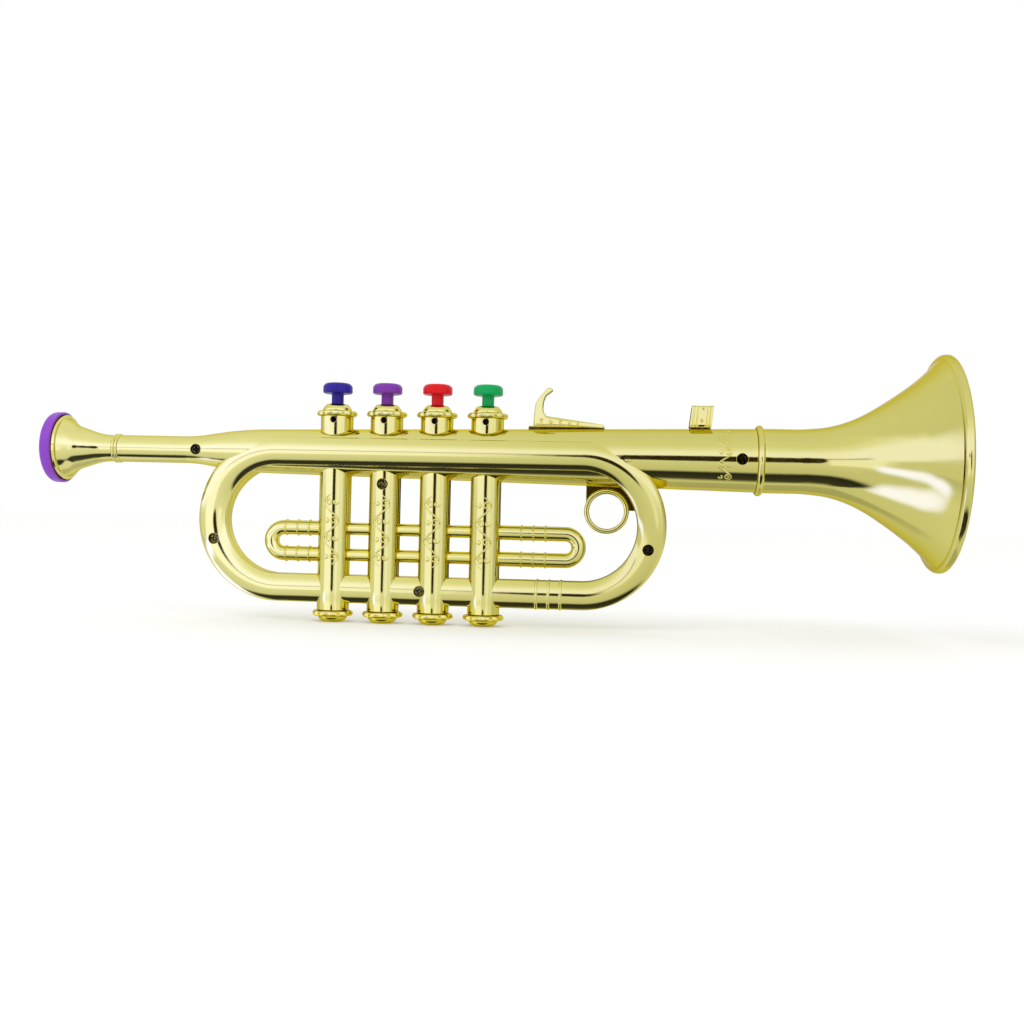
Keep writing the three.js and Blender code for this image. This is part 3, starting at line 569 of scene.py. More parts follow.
def half_shells():
    """Every form of the body joined, hollowed and drilled, then parted at the plane Y = 0."""
    rail = turned(np.r_[0, 0, LAST_VALVE, LAST_VALVE],
                  loop().rail_radius * np.array([0, 1, 1, 0]), "x",
                  angles=turn_angles(64, mm(3)), seam=True)
    forms = [put("Loop", loop_tube())]
    forms += [put("Casing", casing(VALVE_PITCH * i)) for i in range(VALVES)]
    forms += [put("Rail", skin(rail + np.array([0, 0, level]))) for level in RAIL_LEVELS]
    forms += [put("Crook", slide_crook(mm(-24.1), 0, -1, mm([23, 17.35, 11.7]))),
              put("Crook",
                  slide_crook(LAST_VALVE + mm(37.85), LAST_VALVE, 1, mm([28.6, 22.95, 17.3])))]
    forms += finger_ring()
    body = worked(put("Body", main_tube()), "UNION", forms)
    screws = screw_places()
    posts = [column("Post", mm(3.8), x, z) for x, z in (screws[0], screws[-1])]
    tools = [worked(put("Bore", main_tube(tube().wall, mm(5))), "DIFFERENCE", posts)]
    tools += [column("Valve bore", mm(5.85), VALVE_PITCH * i, 0, 0, mm(25), "z", 64)
              for i in range(VALVES)]
    for x, z in screws:
        tools.append(column("Recess", mm(2.6), x, z, high=mm(-4.2)))
        tools.append(column("Screw bore", mm(1.6), x, z, mm(-5), mm(4.1)))
    tools += [sound_hole(VALVE_PITCH * i) for i in range(VALVES)]
    worked(body, "DIFFERENCE", tools)
    halves = []
    beyond, overlap = mm(400), mm(0.04)
    for name, side in (("Front_shell", 1), ("Rear_shell", -1)):
        half = bpy.data.objects.new(name, body.data.copy())
        bpy.context.scene.collection.objects.link(half)
        other = slab("Half", (-beyond, beyond), sorted([side * beyond, -side * overlap]),
                     (-beyond, beyond))
        halves.append(worked(half, "DIFFERENCE", [other]))
    bpy.data.objects.remove(body)
    return halves


def sound_hole(x):
    """A tool for the small hole in front of a valve, through the casing and its cap."""
    return column("Sound hole", SOUND_HOLE_RADIUS, x, SOUND_HOLE_LEVEL, high=0)


# Bell and mouthpiece

def lathe(name, along, radius, axis="x", place=(0, 0, 0), sides=128, ring=True):
    """A piece turned from one profile.

    A closed ring of wall, or a solid whose ends meet the axis.
    """
    return put(name, skin(turned(along, radius, axis, place, turn_angles(sides)), ring))


def bell_form():
    """Spigot, collar bead, long flare and rolled lip, and inside them the flare less the wall."""
    start, front = BODY_END + mm(0.1), BELL_FRONT
    flare_start, flare_end = start + mm(3), front - mm(4.3)
    throat, flare_radius = mm(14.75), mm(46.7)
    shares = [0, 0.27, 0.39, 0.5, 0.6, 0.7, 0.8, 0.89, 0.96, 1]
    rises = [0, 0.008, 0.045, 0.125, 0.24, 0.39, 0.56, 0.73, 0.89, 1]
    flare = np.linspace(flare_start, flare_end, 90)
    spread = smooth_through(shares, rises, (flare - flare_start) / (flare_end - flare_start))
    flare_r = throat + (flare_radius - throat) * np.maximum(spread, 0)
    lip = mm([0, 0.08, 0.25, 0.6, 1.1, 1.8, 2.5, 3.2, 3.7, 4.05, 4.3])
    lip_rise = np.array([-0.06, 0.26, 0.5, 0.7, 0.87, 0.97, 1.0, 0.96, 0.85, 0.7, 0.5])
    lip_r = flare_radius + lip_rise * (BELL_RADIUS - flare_radius)
    bead = np.linspace(0, math.pi, 13)
    bead_x, bead_r = start + mm(1.5) * (1 - np.cos(bead)), throat + mm(1.5) * np.sin(bead) ** 0.8
    slope = np.gradient(flare_r, flare)
    away = np.sqrt(1 + slope**2)
    inside_x = (flare + slope * tube().wall / away)[::-1]
    inside_r = (flare_r - tube().wall / away)[::-1]
    spigot, spigot_inner, spigot_end = mm(12.2), mm(10.65), BODY_END - mm(14)
    along = np.r_[spigot_end, spigot_end, start, bead_x, flare[1:], flare_end + lip[1:],
                  front - mm(0.1), inside_x, start]
    radius = np.r_[spigot_inner, spigot, spigot, bead_r, flare_r[1:], lip_r[1:],
                   flare_radius, inside_r, spigot_inner]
    keep = along <= front + SAME_PLACE
    bell = lathe("Bell", along[keep], radius[keep], sides=192)
    return worked(bell, "DIFFERENCE", [column("Post hole", mm(4.1), *screw_places()[-1])])


def cup_form():
    """Flange, smooth bowl, two beads and a shank, turned with the cup and the bore inside."""
    back = PIPE_END - mm(0.1)
    front = back - mm(29.2)
    shoulder, bead_start = front + mm(2.4), back - mm(3)
    neck, flange, edge = mm(6.2), mm(15.6), mm(0.4)
    bore, socket, socket_depth = mm(3), mm(4.3), mm(12)
    share = np.linspace(0, 1, 40)
    bowl = smooth_through([0, 0.09, 0.22, 0.35, 0.49, 0.7, 1],
                          [1, 0.84, 0.57, 0.43, 0.29, 0.1, 0], share)
    bowl_x = shoulder + (bead_start - shoulder) * share
    bowl_r = neck + mm(7.8) * np.maximum(bowl, 0)
    bead = np.linspace(0, math.pi, 9)
    bead_x, bead_r = bead_start + mm(0.75) * (1 - np.cos(bead)), neck + mm(0.8) * np.sin(bead)
    cup = np.linspace(0, 1, 16)
    cup_x, cup_r = front + mm(15) * (1 - cup), bore + mm(8.2) * np.sqrt(1 - (1 - cup) ** 2)
    along = np.r_[front, front, front + edge, shoulder - edge, shoulder,
                  bowl_x, bead_x, bead_x[1:] + mm(1.5),
                  back, back, back + socket_depth, back + socket_depth, cup_x[:-1]]
    radius = np.r_[mm(11.2), flange - edge, flange, flange,
                   flange - edge, bowl_r, bead_r, bead_r[1:],
                   neck, socket, socket, bore, cup_r[:-1]]
    return lathe("Mouthpiece_cup", along, radius)


def rim_form():
    """A soft band with full round edges, turned about the mouthpiece."""
    seat = PIPE_END - mm(29.4)
    front, hold, outer, inner, lap = seat - mm(4.6), mm(15.9), mm(17), mm(11.2), mm(0.8)
    turn = np.linspace(0, math.pi / 2, 10)
    round_x, round_r = front + mm(2.4) * (1 - np.sin(turn)), outer - mm(1.7) * (1 - np.cos(turn))
    inner_x, inner_r = front + mm(2.4) * (1 - np.cos(turn)), inner + mm(2.0) * (1 - np.sin(turn))
    along = np.r_[round_x[::-1], seat + mm(0.45), seat + lap, seat + lap, seat, seat, inner_x[::-1]]
    radius = np.r_[round_r[::-1], outer, outer - mm(0.35), hold, hold, inner, inner_r[::-1]]
    return lathe("Mouthpiece_rim", along, radius)


# Valve caps, keys and screws

def bead_lobes(angles, weight):
    """Round beads about a flange.

    The cosine of the beads' angle, lifted and flattened, times a weight.
    """
    wave = 0.5 + 0.5 * np.cos(caps().beads * angles)
    return caps().bead_height * np.asarray(weight)[:, None] * wave**0.7


def cap_form(name, x, top):
    """A beaded round flange under a coned crown, with the stem's bore or a plain boss inside."""
    angles = turn_angles(160)
    flange, under, cone, crown = caps().flange_radius, mm(7.9), mm(6.75), mm(4.9)
    turn = np.linspace(-math.pi / 2, math.pi / 2, 9)
    low, thick, rise = CASING_TOP + mm(0.1), mm(2.5), mm(3.2)
    if not top:
        low, thick, rise = FOOT - mm(0.1), mm(-2.5), mm(-2.7)
    flange_z = low + thick * (0.5 + 0.5 * np.sin(turn))
    flange_r = flange - mm(0.7) + mm(0.7) * np.cos(turn)
    dome = np.linspace(0, 1, 10)
    dome_z = low + thick + rise * dome
    dome_r = cone + (crown - cone) * dome**1.5 + mm(0.25) * np.sin(math.pi * dome)
    end = dome_z[-1]
    if top:
        spigot, inner, stem, bore = mm(5.5), mm(4.65), mm(3.2), mm(4.1)
        seat, web, lid = CASING_TOP - mm(5.3), mm(1.2), mm(1.4)
        z = np.r_[seat, seat, low, low, flange_z, dome_z, end, end - lid,
                  end - lid, seat + web, seat + web]
        r = np.r_[bore, spigot, spigot, under, flange_r, dome_r, stem, stem, inner, inner, bore]
    else:
        spigot, boss = mm(5.35), low + mm(4)
        z = np.r_[boss, boss, low, low, flange_z, dome_z, end]
        r = np.r_[0, spigot, spigot, under, flange_r, dome_r, 0]
    weights = np.zeros(len(z))
    weights[4:4 + len(turn)] = np.cos(turn) ** 0.7
    cap = put(name,
              skin(turned(z, r, "z", (x, 0, 0), angles, lobes=bead_lobes(angles, weights)), top))
    if top:
        worked(cap, "DIFFERENCE", [sound_hole(x)])
    return cap


def key_form(name, x):
    """Pin, plate, stem and a button with eased edges and a faintly domed top, turned."""
    low, high, button, dome = mm(28), mm(33.2), mm(6.95), mm(0.25)
    turn = np.linspace(0, math.pi / 2, 12)
    under, over = mm(1.0), mm(2.3)
    edge_z, edge_r = low + under * (1 - np.cos(turn)), button - under * (1 - np.sin(turn))
    top_z, top_r = high - dome - over + over * np.sin(turn), button - over * (1 - np.cos(turn))
    crown = np.linspace(1, 0, 8)[1:]
    pin_foot, plate_foot, plate_top, neck = mm(3.4), mm(8), mm(9.2), mm(0.8)
    pin, plate, stem, swell = mm(1.6), mm(5), mm(2.85), mm(0.5) * np.linspace(0, 1, 5)[1:] ** 2
    z = np.r_[pin_foot, pin_foot, mm(3.8), plate_foot, plate_foot, plate_top, plate_top, low - neck,
              low - neck * np.linspace(1, 0, 5)[1:], edge_z, top_z[1:], high - dome * crown**2]
    r = np.r_[0, mm(1.3), pin, pin, plate, plate, stem, stem, stem + swell, edge_r, top_r[1:],
              top_r[-1] * crown]
    r[-1] = 0
    return lathe(name, z, r, "z", (x, 0, 0), 112, False)


def key_coil(name, x):
    """Four turns of spring wire.

    A circle carried up a helix of steady pitch, closed by flat ends.
    """
    radius, wire, turns = mm(3), mm(0.35), 4
    turn = np.linspace(0, turns * FULL_TURN, turns * 36 + 1)[:, None]
    section = turn_angles(12)
    out = radius + wire * np.cos(section)
    z = COIL_FOOT + wire + (COIL_HEIGHT - 2 * wire) * turn / turn[-1] + wire * np.sin(section)
    return put(name, skin(np.stack([x + out * np.cos(turn), out * np.sin(turn), z], -1)))


def screw_form(name, x, z):
    """A domed head over a plain shank; a tapered cross lowers the dome's points."""
    angles = turn_angles(96)
    head_radius, shank = mm(2.3), mm(1.25)
    r = head_radius * np.r_[0.001, np.linspace(0.04, 0.86, 26), 0.93, 0.98, 1.0]
    dome = mm(-5.75) - mm(0.45) * (1 - (r / head_radius) ** 2)
    across, up = r[:, None] * np.cos(angles), r[:, None] * np.sin(angles)
    arm = np.minimum(np.abs(across), np.abs(up))
    beyond = eased(r, mm(0.9), mm(1.45))[:, None]
    cross = mm(0.85) * (1 - eased(arm, mm(0.24), mm(0.42))) * (1 - beyond)
    head = turned(dome, r, "y", (x, 0, z), angles)
    head[..., 1] += cross
    head[0] = head[0].mean(0)
    y = mm([-5.3, -4.65, -4.5, -4.5, 2.5, 3.8])
    rest = turned(y, np.r_[head_radius, head_radius, mm(2.15), shank, shank, 0],
                  "y", (x, 0, z), angles)
    return put(name, skin(np.concatenate([head, rest])))


# Finger hook and clip socket on the crest of the main tube

HOOK_START = LAST_VALVE + mm(19.5)
HOOK_LENGTH = mm(35.4)
HOOK_FOOT = mm(14.2)
HOOK_HEIGHT = mm(18)
SOCKET_START = LAST_VALVE + mm(93.6)
SOCKET_LENGTH = mm(10)
SOCKET_HEIGHT = mm(10.5)
SOCKET_LEAN = mm(1.2)
SOCKET_TAPER = 0.3


def hook_outline():
    """Outline of the hook from the side.

    Smooth curves up the back and over the tip, then the long wedge.
    """
    along = np.array([0.065, 0.072, 0.095, 0.17, 0.27, 0.305, 0.215, 0.186, 0.19, 0.235])
    up = np.array([0.06, 0.36, 0.62, 0.83, 1.0, 0.955, 0.77, 0.58, 0.38, 0.26])
    chord = np.r_[0, np.cumsum(np.hypot(np.diff(along) * HOOK_LENGTH, np.diff(up) * HOOK_HEIGHT))]
    fine = np.linspace(0, chord[-1], 90)
    arm = np.stack([smooth_through(chord, along, fine), smooth_through(chord, up, fine)], 1)
    wedge = np.stack([np.linspace(0.235, 0.975, 24)[1:], np.linspace(0.26, 0.06, 24)[1:]], 1)
    end = np.array([(0.99, 0.04), (0.99, -0.03), (0.52, -0.03), (0.065, -0.03)])
    shares = np.concatenate([arm, wedge, end])
    return np.array([HOOK_START, HOOK_FOOT]) + shares * np.array([HOOK_LENGTH, HOOK_HEIGHT])


def inset(outline, distances, share=1.0):
    """A closed outline moved inwards by each distance, along the mean of its two sides' normals."""
    before, after = outline - np.roll(outline, 1, 0), np.roll(outline, -1, 0) - outline
    sides = [np.stack([d[:, 1], -d[:, 0]], 1) / np.hypot(d[:, 0], d[:, 1])[:, None]
             for d in (before, after)]
    inward = sides[0] + sides[1]
    inward /= np.maximum(np.einsum("ij,ij->i", inward, inward)[:, None] / 2, 0.6)
    return outline + np.asarray(distances)[:, None, None] * inward * np.reshape(share, (-1, 1))


def hook_form():
    """The hook's outline drawn across its width, its sides crowned like half an ellipse."""
    half = mm(3.4)
    turn = np.linspace(0, math.pi / 2, 9)
    insets = mm(1.6) * (1 - np.cos(turn))[::-1]
    off = half - mm(1.15) * (1 - np.sin(turn))[::-1]
    insets, off = np.r_[insets, insets[::-1]], np.r_[-off, off[::-1]]
    plain = hook_outline()
    place = (plain - np.array([HOOK_START, HOOK_FOOT])) / np.array([HOOK_LENGTH, HOOK_HEIGHT])
    slim = np.minimum(np.clip((0.5 - place[:, 1]) / 0.3, 0.26, 1),
                      np.clip((1 - place[:, 0]) / 0.6, 0.12, 1))
    outline = inset(plain, insets, slim)
    taper = 1 - 0.5 * np.clip((outline[..., 1] - HOOK_FOOT) / HOOK_HEIGHT, 0, 1)
    grid = np.stack([outline[..., 0], off[:, None] * taper, outline[..., 1]], -1)
    return worked(put("Finger_hook", skin(grid)), "UNION", [saddle()])


def saddle():
    """The hook's foot.

    A flat strip with eased edges, whose underside follows the main tube's circle.
    """
    wide, ease, ledge, skirt = mm(3.1), mm(0.3), mm(1), mm(-1.0)
    start, end = HOOK_START, HOOK_START + HOOK_LENGTH
    x = np.r_[start, start + ease, np.linspace(start + ledge, end - ledge, 12), end - ease, end]
    lower = np.r_[ease, np.zeros(len(x) - 2), ease]
    y = np.r_[-wide, -wide, -wide + ease, np.linspace(-wide + ledge, wide - ledge, 8),
              wide - ease, wide, wide]
    top = np.r_[skirt, -ease, 0, np.zeros(8), 0, -ease, skirt]
    under_y = np.linspace(wide, -wide, 14)[1:-1]
    section_y = np.r_[y, under_y]
    upper = HOOK_FOOT + top[None, :] - lower[:, None] * (np.abs(top) < mm(0.9))
    seat = np.sqrt(main_radius(x)[:, None] ** 2 - section_y**2) - mm(0.35)
    height = np.concatenate([upper, np.broadcast_to(seat[:, len(y):], (len(x), len(under_y)))], 1)
    height[:, [0, len(y) - 1]] = seat[:, [0, len(y) - 1]]
    return put("Saddle",
               skin(np.stack(np.broadcast_arrays(x[:, None], section_y[None, :], height), -1)))


def socket_form():
    """A leaning block with fluted sides, drawn in at its top edge and sunk into the tube."""
    reach, half, top_edge = SOCKET_LENGTH, mm(4.4), mm(0.7)
    crest = float(main_radius(SOCKET_START + reach))
    share = np.linspace(0, 1, 97)
    grooves = np.exp(-((share[:, None] - np.array([0.13, 0.31, 0.76, 0.9])) / 0.035) ** 2)
    y = half - mm(0.5) * grooves.sum(1) - mm(0.35) * np.abs(2 * share - 1) ** 6
    across = np.linspace(half, -half, 12)[1:-1]
    plan = np.concatenate([
        np.stack([SOCKET_START + reach * share, -y], 1),
        np.stack([np.full(10, SOCKET_START + reach), -across], 1),
        np.stack([SOCKET_START + reach * share[::-1], y[::-1]], 1),
        np.stack([np.full(10, SOCKET_START), across], 1)])
    turn = np.linspace(0, math.pi / 2, 5)
    base, top = crest + mm(0.55), crest + SOCKET_HEIGHT
    z = np.r_[base - mm(0.02), base, base + mm(0.25), np.linspace(base + mm(1.5), top - mm(1), 6),
              top - top_edge * (1 - np.sin(turn)), top]
    drawn = np.r_[mm(0.45), mm(0.1), np.zeros(7), top_edge * (1 - np.cos(turn)), mm(1.4)]
    rows = inset(plan, -drawn)
    rows[0, :, 1] = np.clip(plan[:, 1], -half + mm(0.65), half - mm(0.65))
    low = np.sqrt(main_radius(rows[0, :, 0]) ** 2 - rows[0, :, 1] ** 2) - mm(0.6)
    z = np.concatenate([low[None, :], np.broadcast_to(z[:, None], (len(z), len(plan)))])
    rows = np.concatenate([rows[:1], rows])
    rise = np.maximum(z - crest, 0) / SOCKET_HEIGHT
    block = [rows[..., 0] + SOCKET_LEAN * rise, rows[..., 1] * (1 - SOCKET_TAPER * rise), z]
    return put("Clip_socket", skin(np.stack(block, -1)))


# Scrollwork raised on the shells

def curl(radius, turns, start, hand):
    """Spiral in the plane.

    Its radius shrinks by an even share with each degree, from the start angle.
    """
    t = np.linspace(0, 1, 40)
    angle = start + hand * turns * FULL_TURN * t
    size = radius * 0.26**t
    return np.stack([size * np.cos(angle), size * np.sin(angle)], 1)


def vine(height, wave, swing, curl_radius):
    """Lines of a running scroll.

    A sine wave for the stem, and a curl in the hollow of each half wave.
    """
    v = np.linspace(0, height, 90)
    lines = [np.stack([swing * np.sin(FULL_TURN * v / wave), v], 1)]
    for k in range(int(2 * height / wave)):
        side = 1 if k % 2 == 0 else -1
        centre = np.array([side * (swing - curl_radius), wave * (0.25 + 0.5 * k)])
        lines.append(centre + curl(curl_radius, 1.3, 0 if side > 0 else math.pi, side))
        leaf = centre + np.array([-side * swing * 0.95, wave * 0.02])
        lines.append(leaf + curl(curl_radius * 0.72, 0.85, math.pi if side > 0 else 0, side))
    return lines


def relief(name, lines, radius):
    """Rounded lines half sunk on a surface, as one piece: a circle is carried along each line.

    Each line is its points and the surface's normals there. The circle lies between the normal and
    the normal's cross product with the line's direction, and shrinks to a point at both ends.
    """
    angles = turn_angles(8)
    skins = []
    for points, normals in lines:
        along = np.gradient(points, axis=0)
        along /= np.linalg.norm(along, axis=1)[:, None]
        across = np.cross(along, normals)
        across /= np.linalg.norm(across, axis=1)[:, None]
        size = radius * np.sqrt(np.clip(1 - np.linspace(-1, 1, len(points)) ** 10, 0, 1))
        ring = (np.cos(angles)[:, None] * normals[:, None]
                + np.sin(angles)[:, None] * across[:, None])
        skins.append(skin(points[:, None] + size[:, None, None] * ring))
    return put(name, *skins)


def on_casing(line, x, side):
    """A flat line laid on a casing's front or back.

    Across is X, and the face's circle gives the depth.
    """
    radius = tube().casing_radius - mm(0.1)
    off = np.sqrt(radius**2 - line[:, 0] ** 2)
    normals = np.stack([line[:, 0], side * off, 0 * off], 1) / radius
    return np.stack([x + line[:, 0], side * off, line[:, 1]], 1), normals


def on_main_tube(line, x, side):
    """A flat line laid round the main tube.

    Across is X, and up is the angle over the front or back.
    """
    along = x + line[:, 0]
    radius = main_radius(along) - mm(0.14)
    angle = line[:, 1] / radius
    normals = np.stack([0 * angle, side * np.cos(angle), np.sin(angle)], 1)
    points = normals * radius[:, None]
    points[:, 0] = along
    return points, normals


def on_flat(line, off, side):
    """A flat line laid on a flat side at a distance off the middle: across is X and up is Z."""
    places = np.stack([line[:, 0], side * off, line[:, 1]], 1)
    return places, np.tile([0.0, side, 0], (len(line), 1))


def casing_scrolls(side):
    """A vine up the face of each casing."""
    low = np.array([0, mm(-53.5)])
    return [on_casing(line * np.array([(-1) ** i, 1]) + low, VALVE_PITCH * i, side)
            for i in range(VALVES) for line in vine(mm(34), mm(17), mm(3.4), mm(2.1))]


def tube_scrolls(side):
    """A vine round the main tube before the bell's collar."""
    return [on_main_tube(line + np.array([0, mm(-11.5)]), BODY_END - mm(14.6), side)
            for line in vine(mm(29), mm(11.6), mm(3.0), mm(1.7))]


def small_scrolls(side):
    """Curls along the hook's wedge and two on the clip socket."""
    lines = []
    curls = (0.17, 1.15, 1), (0.29, 1.2, -1), (0.42, 1.0, 1), (0.54, 0.8, -1), (0.65, 0.6, 1)
    for share, radius, hand in curls:
        line = curl(mm(radius), 1.4, 0.4, hand) + np.array([
            HOOK_START + share * HOOK_LENGTH, HOOK_FOOT + HOOK_HEIGHT * (0.3 - 0.27 * share) * 0.5])
        lines.append(on_flat(line, mm(3.36) * (1 - 0.5 * (line[:, 1] - HOOK_FOOT) / HOOK_HEIGHT),
                             side))
    crest = float(main_radius(SOCKET_START + SOCKET_LENGTH))
    for up, radius in ((3.4, 1.0), (9.0, 0.7)):
        rise = mm(up) / SOCKET_HEIGHT
        line = curl(mm(radius), 1.3, 1.2, 1) + np.array([
            SOCKET_START + mm(5.4) + SOCKET_LEAN * rise, crest + mm(up)])
        lines.append(on_flat(line, np.full(len(line), mm(4.34) * (1 - SOCKET_TAPER * rise)), side))
    return lines


def window_corners():
    """Fillets in the windows' upper corners.

    A square corner less a quarter circle, drawn across a wall.
    """
    radius, over, sunk, ease, off = mm(2.3), mm(0.4), mm(0.02), mm(0.2), mm(3.4)
    turn = np.linspace(0, math.pi / 2, 10)
    x = np.r_[-over, radius, radius - radius * np.sin(turn), -over]
    z = np.r_[over, over, -radius + radius * np.cos(turn), -radius]
    y = np.array([-off, -off + ease, off - ease, off])
    draw = np.array([ease, 0, 0, ease])
    skins = []
    for i in range(VALVES):
        for side in ((1, -1) if i < VALVES - 1 else (1,)):
            face = VALVE_PITCH * (i + (side < 0)) + side * (tube().casing_half_width - sunk)
            grid = np.stack(np.broadcast_arrays(
                face + side * (x - draw[:, None]), y[:, None],
                sunk - loop().half_width + z + draw[:, None]), -1)
            skins.append(skin(grid))
    return put("Window_corners", *skins)


# Materials

def linear(colour, share=1.0):
    """An sRGB hex colour as linear light, times a share."""
    value = np.array([int(colour[k:k + 2], 16) for k in (1, 3, 5)]) / 255
    value = np.where(value <= 0.04045, value / 12.92, ((value + 0.055) / 1.055) ** 2.4)
    return (*np.clip(value * share, 0, 1).tolist(), 1.0)


def add(tree, kind, inputs=None, **settings):
    """Adds a node with its settings; each input is a value or another node's output."""
    made = tree.nodes.new(kind)
    for name, value in settings.items():
        setattr(made, name, value)
    for socket, value in (inputs or {}).items():
        if isinstance(value, bpy.types.NodeSocket):
            tree.links.new(value, made.inputs[socket])
        else:
            made.inputs[socket].default_value = value
    return made


def noise(tree, place, size, detail, **more):
    """Soft noise with forms about as large as that size."""
    inputs = {"Vector": place, "Scale": 1 / size, "Detail": detail, **more}
    return add(tree, "ShaderNodeTexNoise", inputs).outputs["Fac"]


def ranged(tree, value, start, end, low=0.0, high=1.0, **settings):
    """A value between start and end taken to between low and high, and held at these outside."""
    return add(tree, "ShaderNodeMapRange", {
        "Value": value, "From Min": start, "From Max": end, "To Min": low, "To Max": high},
        **settings).outputs["Result"]


def blended(tree, factor, first, second):
    """Two colours mixed by a factor."""
    return add(tree, "ShaderNodeMix", {"Factor": factor, "A": first, "B": second},
               data_type="RGBA").outputs["Result"]


def occlusion_for_painted_shade(tree, reach):
    """1 in the open, down to 0 where faces within reach shut a place in: the mask for painted
    shade.
    """
    return add(tree, "ShaderNodeAmbientOcclusion", {"Distance": reach}, samples=6).outputs["AO"]


def raised(tree, height, strength, depth, edge=None):
    """Normals tilted by a height, over edges rounded by a radius where one is given."""
    inputs = {"Strength": strength, "Distance": depth, "Height": height}
    if edge is not None:
        inputs["Normal"] = add(tree, "ShaderNodeBevel", {"Radius": edge},
                               samples=4).outputs["Normal"]
    return add(tree, "ShaderNodeBump", inputs).outputs["Normal"]


def blank(name):
    """A material with nothing but its object coordinates, its tree, and those."""
    material = bpy.data.materials.new(name)
    material.use_nodes = True
    tree = material.node_tree
    tree.nodes.clear()
    return material, tree, add(tree, "ShaderNodeTexCoord").outputs["Object"]


def surfaced(material, inputs, kind="ShaderNodeBsdfPrincipled"):
    """Gives a material its last shader and its output."""
    shader = add(material.node_tree, kind, inputs)
    add(material.node_tree, "ShaderNodeOutputMaterial", {"Surface": shader.outputs[0]})
    return material


def metallised_gold():
    """Vacuum-metallised ABS under a tinted clear lacquer.

    Aluminium on a glossy moulding gives a mirror with no grain. The eye sees sharp reflections, a
    slow waviness of the moulding about 9 mm long, lacquer that pools a little, and hairline scuffs.
    The gold is paler towards the mouthpiece. Painted shade: where ambient occlusion finds corners
    the gold is tinted a full yellow, and in the deep recesses olive.
    """
    material, tree, place = blank("Metallised_gold")
    lacquer = colours().gold
    tint = blended(tree, noise(tree, place, mm(26), 2),
                   linear(lacquer, 0.985), linear(lacquer, 1.015))
    along = add(tree, "ShaderNodeSeparateXYZ", {"Vector": place}).outputs["X"]
    tint = blended(tree, ranged(tree, along, mm(50), mm(-110)), tint, linear("#E3DE8E"))
    stretched = add(tree, "ShaderNodeMapping", {
        "Vector": place, "Scale": (1, 0.6, 4), "Rotation": (0.3, 0.7, 0.2)}).outputs["Vector"]
    hairs = noise(tree, stretched, mm(3.2), 5, Roughness=0.7)
    rough = ranged(tree, hairs, 0.5, 0.85, 0.07, 0.18)
    normal = raised(tree, noise(tree, place, mm(9), 1), 0.1, mm(0.25), mm(0.35))
    # Painted shade: corners that ambient occlusion finds turn a full yellow, deep recesses olive
    shade = occlusion_for_painted_shade(tree, mm(13))
    for colour, start, full in (("#EADC50", 0.86, 0.58), ("#BBA620", 0.5, 0.2)):
        tint = blended(tree, ranged(tree, shade, start, full), tint, linear(colour))
    return surfaced(material, {
        "Base Color": tint, "Metallic": 1.0, "Roughness": rough, "Specular Tint": linear("#DACC7C"),
        "Coat Weight": 0.06, "Coat Roughness": 0.03, "Normal": normal})


def moulded_plastic(name, colour, gloss):
    """Injection-moulded polystyrene from a lightly spark-eroded mould.

    The pigment goes right through, so the colour is even but for painted shade: where ambient
    occlusion finds the plastic shut in, it is darkened to near black. The eye sees a soft highlight
    broken by a fine grain of 0.35 mm, drawn coarser than the real 0.05 mm so that it shows, and
    faint flow clouds.
    """
    material, tree, place = blank(name)
    tint = blended(tree, noise(tree, place, mm(7), 3), linear(colour, 0.9), linear(colour, 1.08))
    # Painted shade: where ambient occlusion finds the plastic shut in, it is darkened to near black
    tint = blended(tree, ranged(tree, occlusion_for_painted_shade(tree, mm(9)), 0.4, 0.15), tint, linear("#0A0908"))
    grain = noise(tree, place, mm(0.35), 2)
    rough = ranged(tree, grain, 0, 1, gloss - 0.06, gloss + 0.1)
    return surfaced(material, {
        "Base Color": tint, "Roughness": rough, "IOR": 1.5, "Specular IOR Level": 0.22,
        "Normal": raised(tree, grain, 0.25, mm(0.03), mm(0.3))})


def blackened_steel(name, colour, wear_and_highlight, start):
    """Phosphated and oiled screw steel: near black, with lighter patches of wear and painted
    highlight.
    """
    material, tree, place = blank(name)
    wear_and_highlight_patches = noise(tree, place, mm(0.8), 4)
    return surfaced(material, {
        "Base Color": blended(tree, ranged(tree, wear_and_highlight_patches, start, start + 0.25),
                              linear(colour), linear(wear_and_highlight)),
        "Metallic": 0.9, "Roughness": 0.38, "Normal": raised(tree, wear_and_highlight_patches, 0.3, mm(0.02), mm(0.15))})


def inner_finish(name, colour, metallic, rough, grain_size):
    """A hidden part's finish.

    An even colour a little darker in its grain, with the grain as a low bump.
    """
    material, tree, place = blank(name)
    grain = noise(tree, place, grain_size, 4)
    return surfaced(material, {
        "Base Color": blended(tree, grain, linear(colour, 0.75), linear(colour, 1.1)),
        "Metallic": metallic, "Roughness": rough,
        "Normal": raised(tree, grain, 0.3, grain_size * 0.1)})


MADE = {}


def finish(name, make, *values):
    """The material of that name, made the first time it is asked for."""
    if name not in MADE:
        MADE[name] = make(*values)
    return MADE[name]


def gild(piece, *nodes, crease=CREASE):
    """Dresses a piece that is fixed to the housing in metallised gold."""
    dress(piece, finish("gold", metallised_gold), "metallised_gold", HOUSING, *nodes, crease=crease)


# Studio

